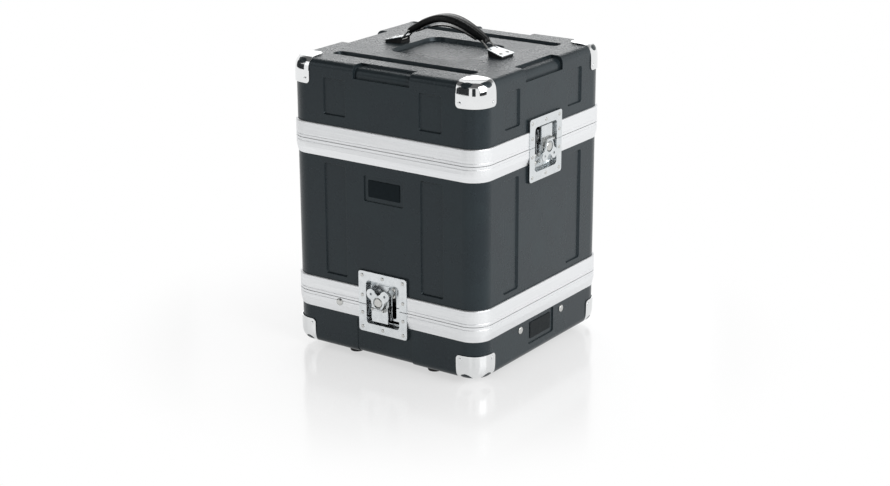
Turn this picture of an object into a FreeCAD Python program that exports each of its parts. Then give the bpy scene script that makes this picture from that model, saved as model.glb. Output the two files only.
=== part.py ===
"""A moulded microphone case: base tray, tall body and hinged lid, with aluminium valances,
chromed ball corners, two recessed twist latches, butt hinges, foam and a carrying handle.

Millimetres, +Z up. The origin is on the floor, under the middle of the case. The front is -Y and
the latch of the lid is on the right, at +X. The case is drawn closed, with both latches released.
"""
import FreeCAD, Part

import math
import os

# Case: plan, heights above the floor and wall
CASE_WIDTH = 400.0            # over the faces of the valances, along X
CASE_DEPTH = 400.0            # over the faces of the valances, along Y
CORNER_RADIUS = 38.0          # valance corners in plan
FOOT_HEIGHT = 10.0
BASE_SEAM = 106.2             # seam between base and body
LID_SEAM = 384.5              # seam between body and lid
LID_TOP = 523.5
WALL = 4.0
SHELL_INSET = 3.4             # the moulded walls stand this far inside the valance faces
EDGE_ROUND = 12.0             # rounding of the lid's top and the base's bottom edge
SEAT_GAP = 0.3                # a loose or soft piece lies this far from its seat
OVERCUT = 1.0                 # cutting tools run this far past a face
SKIM = 1e-3                   # recess formers start this far proud of a face
NEAR = 1e-6                   # points closer than this are the same

# Valances: two extrusions meet at each seam
SEAM_GAP = 0.8
VALANCE_WEB = 2.0             # shelf that covers the rim of the moulded wall
VALANCE_FIT = 0.1             # between extrusion and moulded wall
UPPER_VALANCE_HEIGHT = 29.2   # extrusion above a seam, with a rounded lip
LOWER_VALANCE_HEIGHT = 28.0   # extrusion below a seam, tapered towards its lower edge
LIP_ROUND = 2.2
LOWER_STRAIGHT = 14.5         # upright stretch of the tapered extrusion, next to the seam
TAPER_IN = 2.9
TONGUE_HEIGHT = 4.6
TONGUE_THICK = 2.4
TONGUE_GAP = 0.7
LINE_DEPTH = 0.5              # fine drawn line along each extrusion
LINE_WIDTH = 1.2
LINE_FROM_EDGE = 5.0

# Recessed panels in the walls
PANEL_DEPTH = 3.2
PANEL_DRAFT = 1.6
PANEL_ROUND = 4.0
LID_PANEL_WIDTH = 46.0
LID_PANEL_HEIGHT = 64.0
LID_PANEL_OFFSET = 99.0
LID_PANEL_TOP_DROP = 28.5     # below the lid's top
BODY_PANEL_WIDTH = 46.0
BODY_PANEL_HEIGHT = 200.0
BODY_PANEL_OFFSET = 101.0

# Set-in stretches in the middle of the outer edges
NOTCH_LENGTH = 116.0
LID_NOTCH_DROP = 23.0         # down all four walls of the lid
BASE_NOTCH_DROP = 64.0        # up the front and back walls of the base
NOTCH_REACH = 24.0
LID_NOTCH_IN = 5.0
BASE_NOTCH_IN = 1.2

# Lid top: stacking channels and handle recess
CHANNEL_OFFSET = 130.0
CHANNEL_LENGTH = 290.0
CHANNEL_WIDTH = 26.0
CHANNEL_DEPTH = 6.0
CHANNEL_DRAFT = 1.2
RECESS_LENGTH = 160.0
RECESS_WIDTH = 144.0
RECESS_DEPTH = 7.0
RECESS_DRAFT = 2.0
RECESS_ROUND = 24.0

# Chromed ball corners
CAP_THICK = 1.4
CAP_REACH = 46.0              # along each wall from the outer corner
CAP_HEIGHT = 43.0
CAP_BALL = 62.0               # ball that rounds the outline of the cap
CAP_FLAP_ROUND = 14.0         # inner corner of the flap on the top
CAP_RIVET_SETBACK = 8.0       # rivet centre from the end of the cap
RIVET_RADIUS = 3.2
RIVET_HEIGHT = 1.0
HEAD_TOP_SHARE = 0.6          # top of a rivet or screw head as a share of its foot

# Feet
FOOT_RADIUS = 14.0
FOOT_TAPER = 2.0
FOOT_OFFSET_X = 84.0
FOOT_OFFSET_Y = 165.0
FOOT_SINK = 5.0               # screw recess from below
FOOT_SCREW_RADIUS = 4.0
FOOT_BORE_GAP = 0.6

# Bare badge plates
BADGE_SEAT_WIDTH = 82.0
BADGE_SEAT_HEIGHT = 46.0
BADGE_SINK = 2.4
BADGE_THICK = 1.2
BADGE_MARGIN = 8.0            # plate edge to seat edge
BADGE_ROUND = 4.0
BODY_BADGE_CENTRE = (2.0, 314.0)
BASE_BADGE_CENTRE = (-2.5, 54.0)

# Wall rivets of the base: along the wall and above the floor
WALL_RIVET_RADIUS = 6.5
WALL_RIVET_HEIGHT = 2.6
RIGHT_WALL_RIVETS = ((-69.0, 65.5), (64.0, 65.5))
FRONT_VALANCE_RIVET = (-94.0, 98.0)

# Recessed twist latch: plate and dish, in the latch's own frame
# (x along the wall, y from the seam towards the body, z outward from the flange's face)
LATCH_WIDTH = 102.0
LATCH_BODY_HEIGHT = 60.0
LATCH_KEEPER_HEIGHT = 50.0
LATCH_ROUND = 5.0
FLANGE_THICK = 1.2
DISH_MARGIN = 16.0
DISH_DEPTH = 12.6
DISH_DRAFT = 2.0
DISH_ROUND = 7.0
DISH_FIT = 0.6
DISH_RIVET_INSET = 8.0
DISH_RIVET_SIDE = 16.0        # side rivets above and below the seam
PAD_ROOM = 0.3
WINDOW_WIDTH = 8.5            # slot in the dish floor beside the mechanism
WINDOW_START = 11.5
WINDOW_HEIGHT = 42.0
WINDOW_ROOM = 0.5             # plates in the dish stay this far from the slot
SLOT_END_FLAT = 0.1           # the slots' round ends stop this far short of half circles
DRAIN_WIDTH = 62.0            # long slot at the foot of the keeper's dish
DRAIN_HEIGHT = 4.6

# Twist latch mechanism
HUB_X = -8.5
HUB_Y = 7.5
PLATE_THICK = 1.5
PLATE_TOP = 36.0
PLATE_START = 1.5
RAIL_HEIGHT = 8.4
RAIL_THICK = 1.6
RAIL_GAP = 0.4
STUD_RADIUS = 3.0
RUNNING_FIT = 0.05
HOOK_WIDTH = 34.0
HOOK_THICK = 1.8
HOOK_TOP = 19.0
HOOK_RELEASED_LEVEL = -5.4    # underside of the released hook
HOOK_PULL = 4.0               # travel towards the body as the latch is turned
HOOK_DROP = 3.2               # travel into the dish as the latch is turned
HOOK_LIP = 3.0
LIP_THICK = 2.0
STRIKE_EDGE = -24.0
STRIKE_GAP = 0.3
STRIKE_WIDTH = 40.0
STRIKE_LEDGE = 9.0
STRIKE_FOOT = 9.0
STRIKE_THICK = 1.6
CAM_RADIUS = 7.0
CAM_THROW = HOOK_PULL / 2.0
CAM_ROOM = 0.6
CAM_LIFT = 0.1                # cam above its plate
HEAD_TOP = -1.6
HEAD_THICK = 1.6
HEAD_RADIUS = 11.0
HEAD_BAR_WIDTH = 26.0
HEAD_BAR_HEIGHT = 8.0
BOSS_RADIUS = 8.0
BOSS_TOP = 1.9
BOSS_EDGE = 0.8
WING_UNDERSIDE = 0.4
WING_THICK = 2.0
WING_PIN_DROP = 12.5          # wing pin below the hub
WING_PIN_RADIUS = 1.5
WING_KNUCKLE_RADIUS = 2.5
WING_KNUCKLE_WIDTH = 18.4
EAR_GAP = 0.4
EAR_THICK = 3.0
EAR_RADIUS = 2.8
LOBE_X = 14.5
LOBE_Y = 14.0
LOBE_RADIUS = 9.3
LOBE_HOLE = 2.2
WING_RING = 12.8
WING_WINDOW = 9.8
PLATE_RIVETS = ((16.0, 33.0), (16.0, 21.0))
PLATE_RIVET_RADIUS = 4.0
PLATE_WING_REACH = 21.0

# Butt hinges, two at each hinged seam
HINGE_OFFSET = 100.0
HINGE_LENGTH = 64.0
LEAF_HEIGHT = 13.0
LEAF_THICK = 1.5
KNUCKLE_RADIUS = 3.0
KNUCKLE_SHARE = 20.0          # length of the middle knuckle
KNUCKLE_GAP = 0.3
KNUCKLE_ROOM = 0.5
HINGE_PIN_RADIUS = 1.6
HINGE_RIVET_SPACING = 22.0
HINGE_RIVET_RADIUS = 2.6

# Inside: shelf and foam
SHELF_LEVEL = 240.0
SHELF_THICK = 9.0
FOAM_SIDE_GAP = 1.2           # foam stands this far inside the latch dishes
FOAM_ROUND = 28.0
MIC_FOAM_DROP = 7.0           # top of the foam below the lid seam
WELL_RADIUS = 28.0
WELL_DEPTH = 96.0
WELL_SPACING = 84.0
WELL_ROW = 108.0
TRAY_LENGTH = 300.0
TRAY_WIDTH = 110.0
TRAY_DEPTH = 80.0
TRAY_ROUND = 14.0
RECEIVER_FOAM_RISE = 6.0      # underside of the foam above the base seam
RECEIVER_LENGTH = 310.0
RECEIVER_WIDTH = 250.0
RECEIVER_DEPTH = 92.0
PAD_SIDE_GAP = 32.6           # pad to the shell's side wall
BASE_PAD_THICK = 28.0
LID_PAD_THICK = 30.0
PAD_ROUND = 20.0

# Handle
BRACKET_LENGTH = 36.0
BRACKET_WIDTH = 41.0          # at the outer end
BRACKET_INNER_WIDTH = 29.0
BRACKET_HEIGHT = 11.0
BRACKET_LOW = 4.5
BRACKET_ROUND = 3.0
BRACKET_PLATE = 1.8
PAD_SET_IN = 1.5              # sides of the pad inside the edges of its plate
BRACKET_END = 124.5           # outer end of a bracket from the middle of the lid
RING_WIRE = 1.6
RING_WIDTH = 20.0             # between the wire's centre lines
RING_LOW_X = 94.0
RING_LOW_Z = 6.0
RING_HIGH_X = 77.0
RING_HIGH_Z = 24.0
HANDLE_LIFT = 2.0
EYE_ROOM = 0.4
GRIP_APEX = 60.0
GRIP_WIDTH = 27.0
GRIP_END_WIDTH = 15.6
GRIP_THICK = 13.5
GRIP_END_THICK = 11.5
GRIP_EYE_SHARE = 0.46         # eye boss radius as a share of the grip's end
GRIP_STATIONS = 9
GRIP_ROUND_SHARE = 0.42       # rounding of the grip's section as a share of its thickness
STRAP_WIDTH = 18.0
STRAP_THICK = 2.5
STRAP_GAP = 4.5               # under the middle of the grip
STRAP_SHARE = 0.86            # of the grip's half span
STRAP_ROUND_SHARE = 0.4
STRAP_SEAT = 0.2
BRACKET_SCREW_RADIUS = 3.4
BRACKET_SCREW_HEIGHT = 1.2

HALF_X = CASE_WIDTH / 2.0
HALF_Y = CASE_DEPTH / 2.0
WALL_X = HALF_X - SHELL_INSET
WALL_Y = HALF_Y - SHELL_INSET
WALL_RADIUS = CORNER_RADIUS - SHELL_INSET
FLANGE_FACE_X = HALF_X + FLANGE_THICK
FLANGE_FACE_Y = HALF_Y + FLANGE_THICK
BASE_RIM = BASE_SEAM - SEAM_GAP / 2.0 - VALANCE_WEB
BODY_FLOOR_RIM = BASE_SEAM + SEAM_GAP / 2.0 + VALANCE_WEB
BODY_TOP_RIM = LID_SEAM - SEAM_GAP / 2.0 - VALANCE_WEB
LID_RIM = LID_SEAM + SEAM_GAP / 2.0 + VALANCE_WEB
WALLS = {"front": 0.0, "right": 90.0, "back": 180.0, "left": 270.0}
FAR = 1000.0


def vec(x, y, z):
    """A point or direction."""
    return FreeCAD.Vector(x, y, z)


def outline(width, depth, radius, x=0.0, y=0.0, z=0.0):
    """Closed wire of a rectangle with rounded corners, centred on x, y at height z."""
    half_w = width / 2.0 - radius
    half_d = depth / 2.0 - radius
    corners = ((1, -1), (1, 1), (-1, 1), (-1, -1))
    arcs = []
    for index, (x_side, y_side) in enumerate(corners):
        centre = vec(x + x_side * half_w, y + y_side * half_d, z)
        start = 90.0 * (index - 1)
        arcs.append(Part.makeCircle(radius, centre, vec(0, 0, 1), start, start + 90.0))
    edges = []
    for index, arc in enumerate(arcs):
        after = arcs[(index + 1) % len(arcs)]
        edges.append(arc)
        begin = arc.Vertexes[-1].Point
        end = after.Vertexes[0].Point
        if begin.distanceToPoint(end) > NEAR:
            edges.append(Part.makeLine(begin, end))
    return Part.Wire(edges)


def slab(width, depth, radius, z_low, z_high, x=0.0, y=0.0):
    """Upright prism on a rounded rectangle."""
    face = Part.Face(outline(width, depth, radius, x, y, z_low))
    return face.extrude(vec(0, 0, z_high - z_low))


def block(x_low, x_high, y_low, y_high, z_low, z_high):
    """Plain box between two corners."""
    return Part.makeBox(x_high - x_low, y_high - y_low, z_high - z_low, vec(x_low, y_low, z_low))


def drafted(width, depth, radius, z_mouth, z_floor, draft, x=0.0, y=0.0):
    """Recess former: wide at its mouth, narrower by the draft on each side at its floor."""
    mouth = outline(width, depth, radius, x, y, z_mouth)
    floor = outline(width - 2 * draft, depth - 2 * draft, max(radius - draft, 0.5), x, y, z_floor)
    return Part.makeLoft([mouth, floor], True, True)


def cylinder(radius, start, direction, length):
    """Round bar from a point along a direction."""
    return Part.makeCylinder(radius, length, start, direction)


def join(shapes):
    """One solid, or group of solids, from many."""
    first, rest = shapes[0], shapes[1:]
    if not rest:
        return first
    return first.multiFuse(rest).removeSplitter()


def on_wall(shape, wall, along=0.0, height=0.0, out=0.0):
    """Carry a shape drawn flat (x along, y up, z outward) to a wall of the case."""
    moved = shape.copy()
    moved.translate(vec(along, height, out))
    moved.rotate(vec(0, 0, 0), vec(1, 0, 0), 90.0)
    moved.rotate(vec(0, 0, 0), vec(0, 0, 1), WALLS[wall])
    return moved


def wall_plane(wall):
    """Distance of a moulded wall's outer face from the middle of the case."""
    return WALL_Y if wall in ("front", "back") else WALL_X


def at_front_latch(shape):
    """Carry a latch piece to the front, where the body is above the seam."""
    return on_wall(shape, "front", 0.0, BASE_SEAM, FLANGE_FACE_Y)


def at_side_latch(shape):
    """Carry a latch piece to the right side, where the body is below the seam."""
    turned = shape.copy()
    turned.rotate(vec(0, 0, 0), vec(0, 0, 1), 180.0)
    return on_wall(turned, "right", 0.0, LID_SEAM, FLANGE_FACE_X)


def rivet_head(radius, height, x, y, z):
    """Low button head that stands on a face at height z."""
    return Part.makeCone(radius, radius * HEAD_TOP_SHARE, height, vec(x, y, z), vec(0, 0, 1))


def shell_form(inset, z_rim, z_face, rounding):
    """Solid form of a lid or base: rounded plan, with one rounded outer edge loop at z_face."""
    low, high = min(z_rim, z_face), max(z_rim, z_face)
    form = slab(2 * (WALL_X - inset), 2 * (WALL_Y - inset), WALL_RADIUS - inset, low, high)
    edges = [e for e in form.Edges if all(abs(v.Z - z_face) < NEAR for v in e.Vertexes)]
    return form.makeFillet(rounding, edges)


def edge_notches(inset, grow, z_rim, z_face, drop_height, deep, walls):
    """What is taken off a lid or base form so that the middles of its outer edges are set in."""
    up = 1.0 if z_face > z_rim else -1.0
    core = shell_form(inset + deep, z_rim, z_face - up * (inset + deep), EDGE_ROUND)
    tools = []
    for wall in walls:
        plane = wall_plane(wall)
        face = z_face + up * OVERCUT
        drop = z_face - up * (drop_height + grow)
        region = block(
            -NOTCH_LENGTH / 2.0 - grow, NOTCH_LENGTH / 2.0 + grow,
            min(face, drop), max(face, drop),
            plane - NOTCH_REACH - grow, plane + OVERCUT,
        )
        tools.append(on_wall(region, wall).cut(core))
    return Part.makeCompound(tools)


def wall_panels(width, height, offset, z_centre, grow, depth_from):
    """Formers of two recessed panels on each wall, grown by a wall thickness for the inside."""
    tools = []
    for wall in WALLS:
        plane = wall_plane(wall)
        for side in (-1, 1):
            former = drafted(
                width + 2 * grow, height + 2 * grow, PANEL_ROUND + grow,
                plane - depth_from, plane - PANEL_DEPTH - grow, PANEL_DRAFT,
            )
            tools.append(on_wall(former, wall, side * offset, z_centre))
    return Part.makeCompound(tools)


def flange_pad(z_low, z_high, wall, set_in=0.0):
    """Raised seat on a moulded wall, level with the valances, under a latch flange."""
    plane = wall_plane(wall)
    half = LATCH_WIDTH / 2.0
    pad = block(-half, half, z_low, z_high, plane - set_in - WALL, plane + SHELL_INSET)
    return on_wall(pad, wall)


def dish_outline_box(room):
    """Straight-sided space round a latch dish, in the latch's own frame."""
    half = LATCH_WIDTH / 2.0 - DISH_MARGIN + FLANGE_THICK + room
    low = -(LATCH_KEEPER_HEIGHT - DISH_MARGIN) - FLANGE_THICK - room
    high = LATCH_BODY_HEIGHT - DISH_MARGIN + FLANGE_THICK + room
    floor = -DISH_DEPTH - FLANGE_THICK - room
    return block(-half, half, low, high, floor, FLANGE_THICK)


def latch_cutouts():
    """Openings that both latch dishes need in walls and valances."""
    box = dish_outline_box(DISH_FIT)
    return Part.makeCompound([at_front_latch(box), at_side_latch(box)])


def badge_seat(wall, centre):
    """Shallow recess for a badge plate."""
    plane = wall_plane(wall)
    seat = slab(BADGE_SEAT_WIDTH, BADGE_SEAT_HEIGHT, BADGE_ROUND, plane - BADGE_SINK, plane + OVERCUT)
    return on_wall(seat, wall, centre[0], centre[1])


def badge_plate(wall, centre):
    """Bare plate on the floor of its recess."""
    plane = wall_plane(wall) - BADGE_SINK
    width = BADGE_SEAT_WIDTH - 2 * BADGE_MARGIN
    height = BADGE_SEAT_HEIGHT - 2 * BADGE_MARGIN
    plate = slab(width, height, BADGE_ROUND / 2.0, plane, plane + BADGE_THICK)
    return on_wall(plate, wall, centre[0], centre[1])


def base_shell():
    """Moulded tray that stands on the feet."""
    bottom = FOOT_HEIGHT
    outer = shell_form(0.0, BASE_RIM, bottom, EDGE_ROUND)
    notched = (BASE_RIM, bottom, BASE_NOTCH_DROP, BASE_NOTCH_IN, ("front", "back"))
    outer = outer.cut(edge_notches(0.0, 0.0, *notched))
    cavity = shell_form(WALL, BASE_RIM + OVERCUT, bottom + WALL, EDGE_ROUND - WALL)
    cavity = cavity.cut(edge_notches(WALL, WALL, *notched))
    pad_low = BASE_SEAM - LATCH_KEEPER_HEIGHT
    pad_high = BASE_SEAM - LOWER_VALANCE_HEIGHT - PAD_ROOM
    shell = outer.cut(cavity)
    shell = shell.fuse(flange_pad(pad_low, pad_high, "front", BASE_NOTCH_IN))
    shell = shell.cut(latch_cutouts())
    return shell.cut(badge_seat("right", BASE_BADGE_CENTRE)).removeSplitter()


def body_shell():
    """Tall moulded tube between the two seams."""
    middle = (BODY_TOP_RIM + BODY_FLOOR_RIM) / 2.0
    outer = slab(2 * WALL_X, 2 * WALL_Y, WALL_RADIUS, BODY_FLOOR_RIM, BODY_TOP_RIM)
    inner = slab(
        2 * (WALL_X - WALL), 2 * (WALL_Y - WALL), WALL_RADIUS - WALL,
        BODY_FLOOR_RIM - OVERCUT, BODY_TOP_RIM + OVERCUT,
    )
    panels = (BODY_PANEL_WIDTH, BODY_PANEL_HEIGHT, BODY_PANEL_OFFSET, middle)
    shell = outer.cut(wall_panels(*panels, 0.0, -SKIM))
    shell = shell.cut(inner.cut(wall_panels(*panels, WALL, 0.0)))
    front_low = BASE_SEAM + UPPER_VALANCE_HEIGHT + PAD_ROOM
    side_high = LID_SEAM - LOWER_VALANCE_HEIGHT - PAD_ROOM
    shell = shell.fuse(flange_pad(front_low, BASE_SEAM + LATCH_BODY_HEIGHT, "front"))
    shell = shell.fuse(flange_pad(LID_SEAM - LATCH_BODY_HEIGHT, side_high, "right"))
    shell = shell.cut(latch_cutouts())
    return shell.cut(badge_seat("front", BODY_BADGE_CENTRE)).removeSplitter()


def lid_top_formers(grow, from_above):
    """Stacking channels and handle recess of the lid's top, grown by a wall for the inside."""
    tools = []
    for side in (-1, 1):
        tools.append(drafted(
            CHANNEL_LENGTH + 2 * grow, CHANNEL_WIDTH + 2 * grow, CHANNEL_WIDTH / 3.0 + grow,
            LID_TOP + from_above, LID_TOP - CHANNEL_DEPTH - grow, CHANNEL_DRAFT, 0.0, side * CHANNEL_OFFSET,
        ))
    tools.append(drafted(
        RECESS_LENGTH + 2 * grow, RECESS_WIDTH + 2 * grow, RECESS_ROUND + grow,
        LID_TOP + from_above, LID_TOP - RECESS_DEPTH - grow, RECESS_DRAFT,
    ))
    return Part.makeCompound(tools)


def lid_shell():
    """Moulded lid with its panels, set-in edges, stacking channels and handle recess."""
    outer = shell_form(0.0, LID_RIM, LID_TOP, EDGE_ROUND)
    notched = (LID_RIM, LID_TOP, LID_NOTCH_DROP, LID_NOTCH_IN, tuple(WALLS))
    outer = outer.cut(edge_notches(0.0, 0.0, *notched))
    cavity = shell_form(WALL, LID_RIM - OVERCUT, LID_TOP - WALL, EDGE_ROUND - WALL)
    cavity = cavity.cut(edge_notches(WALL, WALL, *notched))
    panel_z = LID_TOP - LID_PANEL_TOP_DROP - LID_PANEL_HEIGHT / 2.0
    panels = (LID_PANEL_WIDTH, LID_PANEL_HEIGHT, LID_PANEL_OFFSET, panel_z)
    cavity = cavity.cut(wall_panels(*panels, WALL, 0.0))
    cavity = cavity.cut(lid_top_formers(WALL, 0.0))
    outer = outer.cut(wall_panels(*panels, 0.0, -SKIM))
    outer = outer.cut(lid_top_formers(0.0, SKIM))
    shell = outer.cut(cavity)
    pad_low = LID_SEAM + UPPER_VALANCE_HEIGHT + PAD_ROOM
    shell = shell.fuse(flange_pad(pad_low, LID_SEAM + LATCH_KEEPER_HEIGHT, "right"))
    return shell.cut(latch_cutouts()).removeSplitter()


def valance(profile):
    """Sweep an extrusion's section round the case. Section points are (inset, height)."""
    points = [vec(0.0, -HALF_Y + inset, z) for inset, z in profile]
    section = Part.makePolygon(points + points[:1])
    ring = outline(CASE_WIDTH, CASE_DEPTH, CORNER_RADIUS, 0.0, 0.0, points[0].z)
    front = next(e for e in ring.Edges if abs(e.CenterOfMass.y + HALF_Y) < NEAR)
    ends = sorted((v.Point for v in front.Vertexes), key=lambda p: p.x)
    middle = vec(0.0, -HALF_Y, points[0].z)
    others = [e for e in ring.Edges if not e.isSame(front)]
    halves = [Part.makeLine(middle, ends[1]), Part.makeLine(ends[0], middle)]
    path = Part.Wire(Part.__sortEdges__(halves[:1] + others + halves[1:]))
    return path.makePipeShell([section], True, False)


def rounded_lip(z_edge, down):
    """Section points of a rounded outer lip at an extrusion's free edge."""
    points = []
    for step in range(4):
        angle = math.radians(30.0 * step)
        points.append((LIP_ROUND * (1 - math.cos(angle)), z_edge - down * LIP_ROUND * (1 - math.sin(angle))))
    return points


def drawn_line(z_middle):
    """Section points of the fine line drawn along an extrusion's face, from below."""
    return [(0.0, z_middle - LINE_WIDTH / 2.0), (LINE_DEPTH, z_middle), (0.0, z_middle + LINE_WIDTH / 2.0)]


def upper_valance(seam, tongue):
    """Extrusion above a seam: upright face, drawn line and rounded lip."""
    low = seam + SEAM_GAP / 2.0
    top = seam + UPPER_VALANCE_HEIGHT
    wall_face = SHELL_INSET - VALANCE_FIT
    inner = SHELL_INSET + WALL
    web_end = inner + TONGUE_GAP + TONGUE_THICK if tongue else inner
    section = [(0.0, low)] + drawn_line(low + LINE_FROM_EDGE) + rounded_lip(top, 1.0)
    section += [(wall_face, top), (wall_face, low + VALANCE_WEB), (web_end, low + VALANCE_WEB)]
    if tongue:
        section += [(web_end, seam - TONGUE_HEIGHT), (web_end - TONGUE_THICK, seam - TONGUE_HEIGHT)]
        section += [(web_end - TONGUE_THICK, low)]
    else:
        section += [(web_end, low)]
    return valance(section)


def lower_valance(seam, tongue):
    """Extrusion below a seam: upright next to the seam, then tapered to its lower edge."""
    top = seam - SEAM_GAP / 2.0
    low = seam - LOWER_VALANCE_HEIGHT
    wall_face = SHELL_INSET - VALANCE_FIT
    inner = SHELL_INSET + WALL
    web_end = inner + TONGUE_GAP + TONGUE_THICK if tongue else inner
    section = [(wall_face, low), (TAPER_IN, low), (0.0, seam - LOWER_STRAIGHT)]
    section += drawn_line(top - LINE_FROM_EDGE) + [(0.0, top)]
    if tongue:
        section += [(web_end - TONGUE_THICK, top), (web_end - TONGUE_THICK, seam + TONGUE_HEIGHT)]
        section += [(web_end, seam + TONGUE_HEIGHT)]
    else:
        section += [(web_end, top)]
    section += [(web_end, top - VALANCE_WEB), (wall_face, top - VALANCE_WEB)]
    return valance(section)


def hinge_room():
    """Clearance that the knuckles need in the valances at both hinged seams."""
    length = HINGE_LENGTH + 2 * KNUCKLE_ROOM
    bar = cylinder(KNUCKLE_RADIUS + KNUCKLE_ROOM, vec(-length / 2.0, 0, 0), vec(1, 0, 0), length)
    tools = []
    for side in (-1, 1):
        tools.append(on_wall(bar, "back", side * HINGE_OFFSET, BASE_SEAM, HALF_Y + LEAF_THICK))
        tools.append(on_wall(bar, "left", side * HINGE_OFFSET, LID_SEAM, HALF_X + LEAF_THICK))
    return Part.makeCompound(tools)


def fitted_valance(ring):
    """Valance with its latch openings and hinge clearances."""
    return ring.cut(latch_cutouts()).cut(hinge_room())


def hinge_leaf(side):
    """One leaf of a butt hinge; side is 1 for the upper leaf and -1 for the lower one."""
    half = HINGE_LENGTH / 2.0
    share = KNUCKLE_SHARE / 2.0
    plate = block(-half, half, 0.0, LEAF_HEIGHT, -LEAF_THICK, 0.0)
    centre = vec(-half, 0.0, 0.0)
    barrel = cylinder(KNUCKLE_RADIUS, centre, vec(1, 0, 0), HINGE_LENGTH)
    bore = cylinder(HINGE_PIN_RADIUS + RUNNING_FIT, centre, vec(1, 0, 0), HINGE_LENGTH)
    reach = KNUCKLE_RADIUS + KNUCKLE_ROOM
    if side > 0:
        keep = block(-share, share, -reach, reach, -reach, reach)
    else:
        left = block(-half, -share - KNUCKLE_GAP, -reach, reach, -reach, reach)
        right = block(share + KNUCKLE_GAP, half, -reach, reach, -reach, reach)
        keep = left.fuse(right)
    clear = cylinder(KNUCKLE_RADIUS + KNUCKLE_GAP, centre, vec(1, 0, 0), HINGE_LENGTH)
    leaf = plate.cut(clear.cut(keep)).fuse(barrel.common(keep)).cut(bore).removeSplitter()
    if side < 0:
        leaf.rotate(vec(0, 0, 0), vec(1, 0, 0), 180.0)
        leaf = leaf.mirror(vec(0, 0, 0), vec(0, 0, 1))
    return leaf


def hinge_pin():
    """Pin of a butt hinge, as long as its knuckles."""
    return cylinder(HINGE_PIN_RADIUS, vec(-HINGE_LENGTH / 2.0, 0, 0), vec(1, 0, 0), HINGE_LENGTH)


def hinge_rivets(side):
    """Three rivet heads on a leaf."""
    heads = []
    for step in (-1, 0, 1):
        x = step * HINGE_RIVET_SPACING
        y = side * (LEAF_HEIGHT + KNUCKLE_RADIUS) / 2.0
        heads.append(rivet_head(HINGE_RIVET_RADIUS, RIVET_HEIGHT, x, y, 0.0))
    return Part.makeCompound(heads)


def on_back_seam(shape):
    """Two copies of a hinge piece on the back, at the base seam."""
    return Part.makeCompound([
        on_wall(shape, "back", side * HINGE_OFFSET, BASE_SEAM, HALF_Y + LEAF_THICK) for side in (-1, 1)
    ])


def on_left_seam(shape):
    """Two copies of a hinge piece on the left side, at the lid seam."""
    return Part.makeCompound([
        on_wall(shape, "left", side * HINGE_OFFSET, LID_SEAM, HALF_X + LEAF_THICK) for side in (-1, 1)
    ])


def corner_caps(z_rim, z_face):
    """Four chromed ball corners on a lid or base."""
    up = 1.0 if z_face > z_rim else -1.0
    form = shell_form(0.0, z_rim, z_face, EDGE_ROUND)
    skin = shell_form(-CAP_THICK, z_rim, z_face + up * CAP_THICK, EDGE_ROUND + CAP_THICK).cut(form)
    end = z_face - up * CAP_HEIGHT
    far = z_face + up * 2 * CAP_THICK
    caps = []
    for x_side in (-1, 1):
        for y_side in (-1, 1):
            x_in = x_side * (WALL_X - CAP_REACH)
            y_in = y_side * (WALL_Y - CAP_REACH)
            x_out = x_side * (WALL_X + 2 * CAP_THICK)
            y_out = y_side * (WALL_Y + 2 * CAP_THICK)
            corner = block(
                min(x_in, x_out), max(x_in, x_out), min(y_in, y_out), max(y_in, y_out),
                min(end, far), max(end, far),
            )
            flap_edge = [
                e for e in corner.Edges
                if all(math.hypot(v.X - x_in, v.Y - y_in) < NEAR for v in e.Vertexes)
            ]
            corner = corner.makeFillet(CAP_FLAP_ROUND, flap_edge)
            inset = 2 * CAP_THICK - CAP_REACH
            ball = Part.makeSphere(CAP_BALL, vec(x_side * (WALL_X + inset), y_side * (WALL_Y + inset), end))
            caps.append(skin.common(corner).common(ball))
    return Part.makeCompound(caps)


def corner_rivets(z_rim, z_face):
    """Rivet heads at the wall ends of the ball corners."""
    up = 1.0 if z_face > z_rim else -1.0
    z = z_face - up * (CAP_HEIGHT - CAP_RIVET_SETBACK)
    heads = []
    for wall in WALLS:
        plane = wall_plane(wall) + CAP_THICK
        across = WALL_X if wall in ("front", "back") else WALL_Y
        for side in (-1, 1):
            along = side * (across - CAP_REACH + CAP_RIVET_SETBACK)
            heads.append(on_wall(rivet_head(RIVET_RADIUS, RIVET_HEIGHT, 0, 0, plane), wall, along, z))
    return Part.makeCompound(heads)


def feet():
    """Four rubber feet, each with a screw recess from below."""
    pieces = []
    for x_side in (-1, 1):
        for y_side in (-1, 1):
            at = vec(x_side * FOOT_OFFSET_X, y_side * FOOT_OFFSET_Y, 0.0)
            foot = Part.makeCone(FOOT_RADIUS - FOOT_TAPER, FOOT_RADIUS, FOOT_HEIGHT, at)
            recess = cylinder(FOOT_SCREW_RADIUS + FOOT_BORE_GAP, at, vec(0, 0, 1), FOOT_SINK)
            pieces.append(foot.cut(recess))
    return Part.makeCompound(pieces)


def foot_screws():
    """Pan heads in the recesses of the feet."""
    heads = []
    for x_side in (-1, 1):
        for y_side in (-1, 1):
            at = vec(x_side * FOOT_OFFSET_X, y_side * FOOT_OFFSET_Y, FOOT_SINK / 2.0)
            heads.append(cylinder(FOOT_SCREW_RADIUS, at, vec(0, 0, 1), FOOT_SINK / 2.0))
    return Part.makeCompound(heads)


def base_rivets():
    """Domed rivets on the base: two on the right wall and one on the front valance."""
    heads = []
    for along, z in RIGHT_WALL_RIVETS:
        head = rivet_head(WALL_RIVET_RADIUS, WALL_RIVET_HEIGHT, 0, 0, WALL_X)
        heads.append(on_wall(head, "right", along, z))
    along, z = FRONT_VALANCE_RIVET
    head = rivet_head(WALL_RIVET_RADIUS, WALL_RIVET_HEIGHT, 0, 0, HALF_Y)
    heads.append(on_wall(head, "front", along, z))
    return Part.makeCompound(heads)


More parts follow.
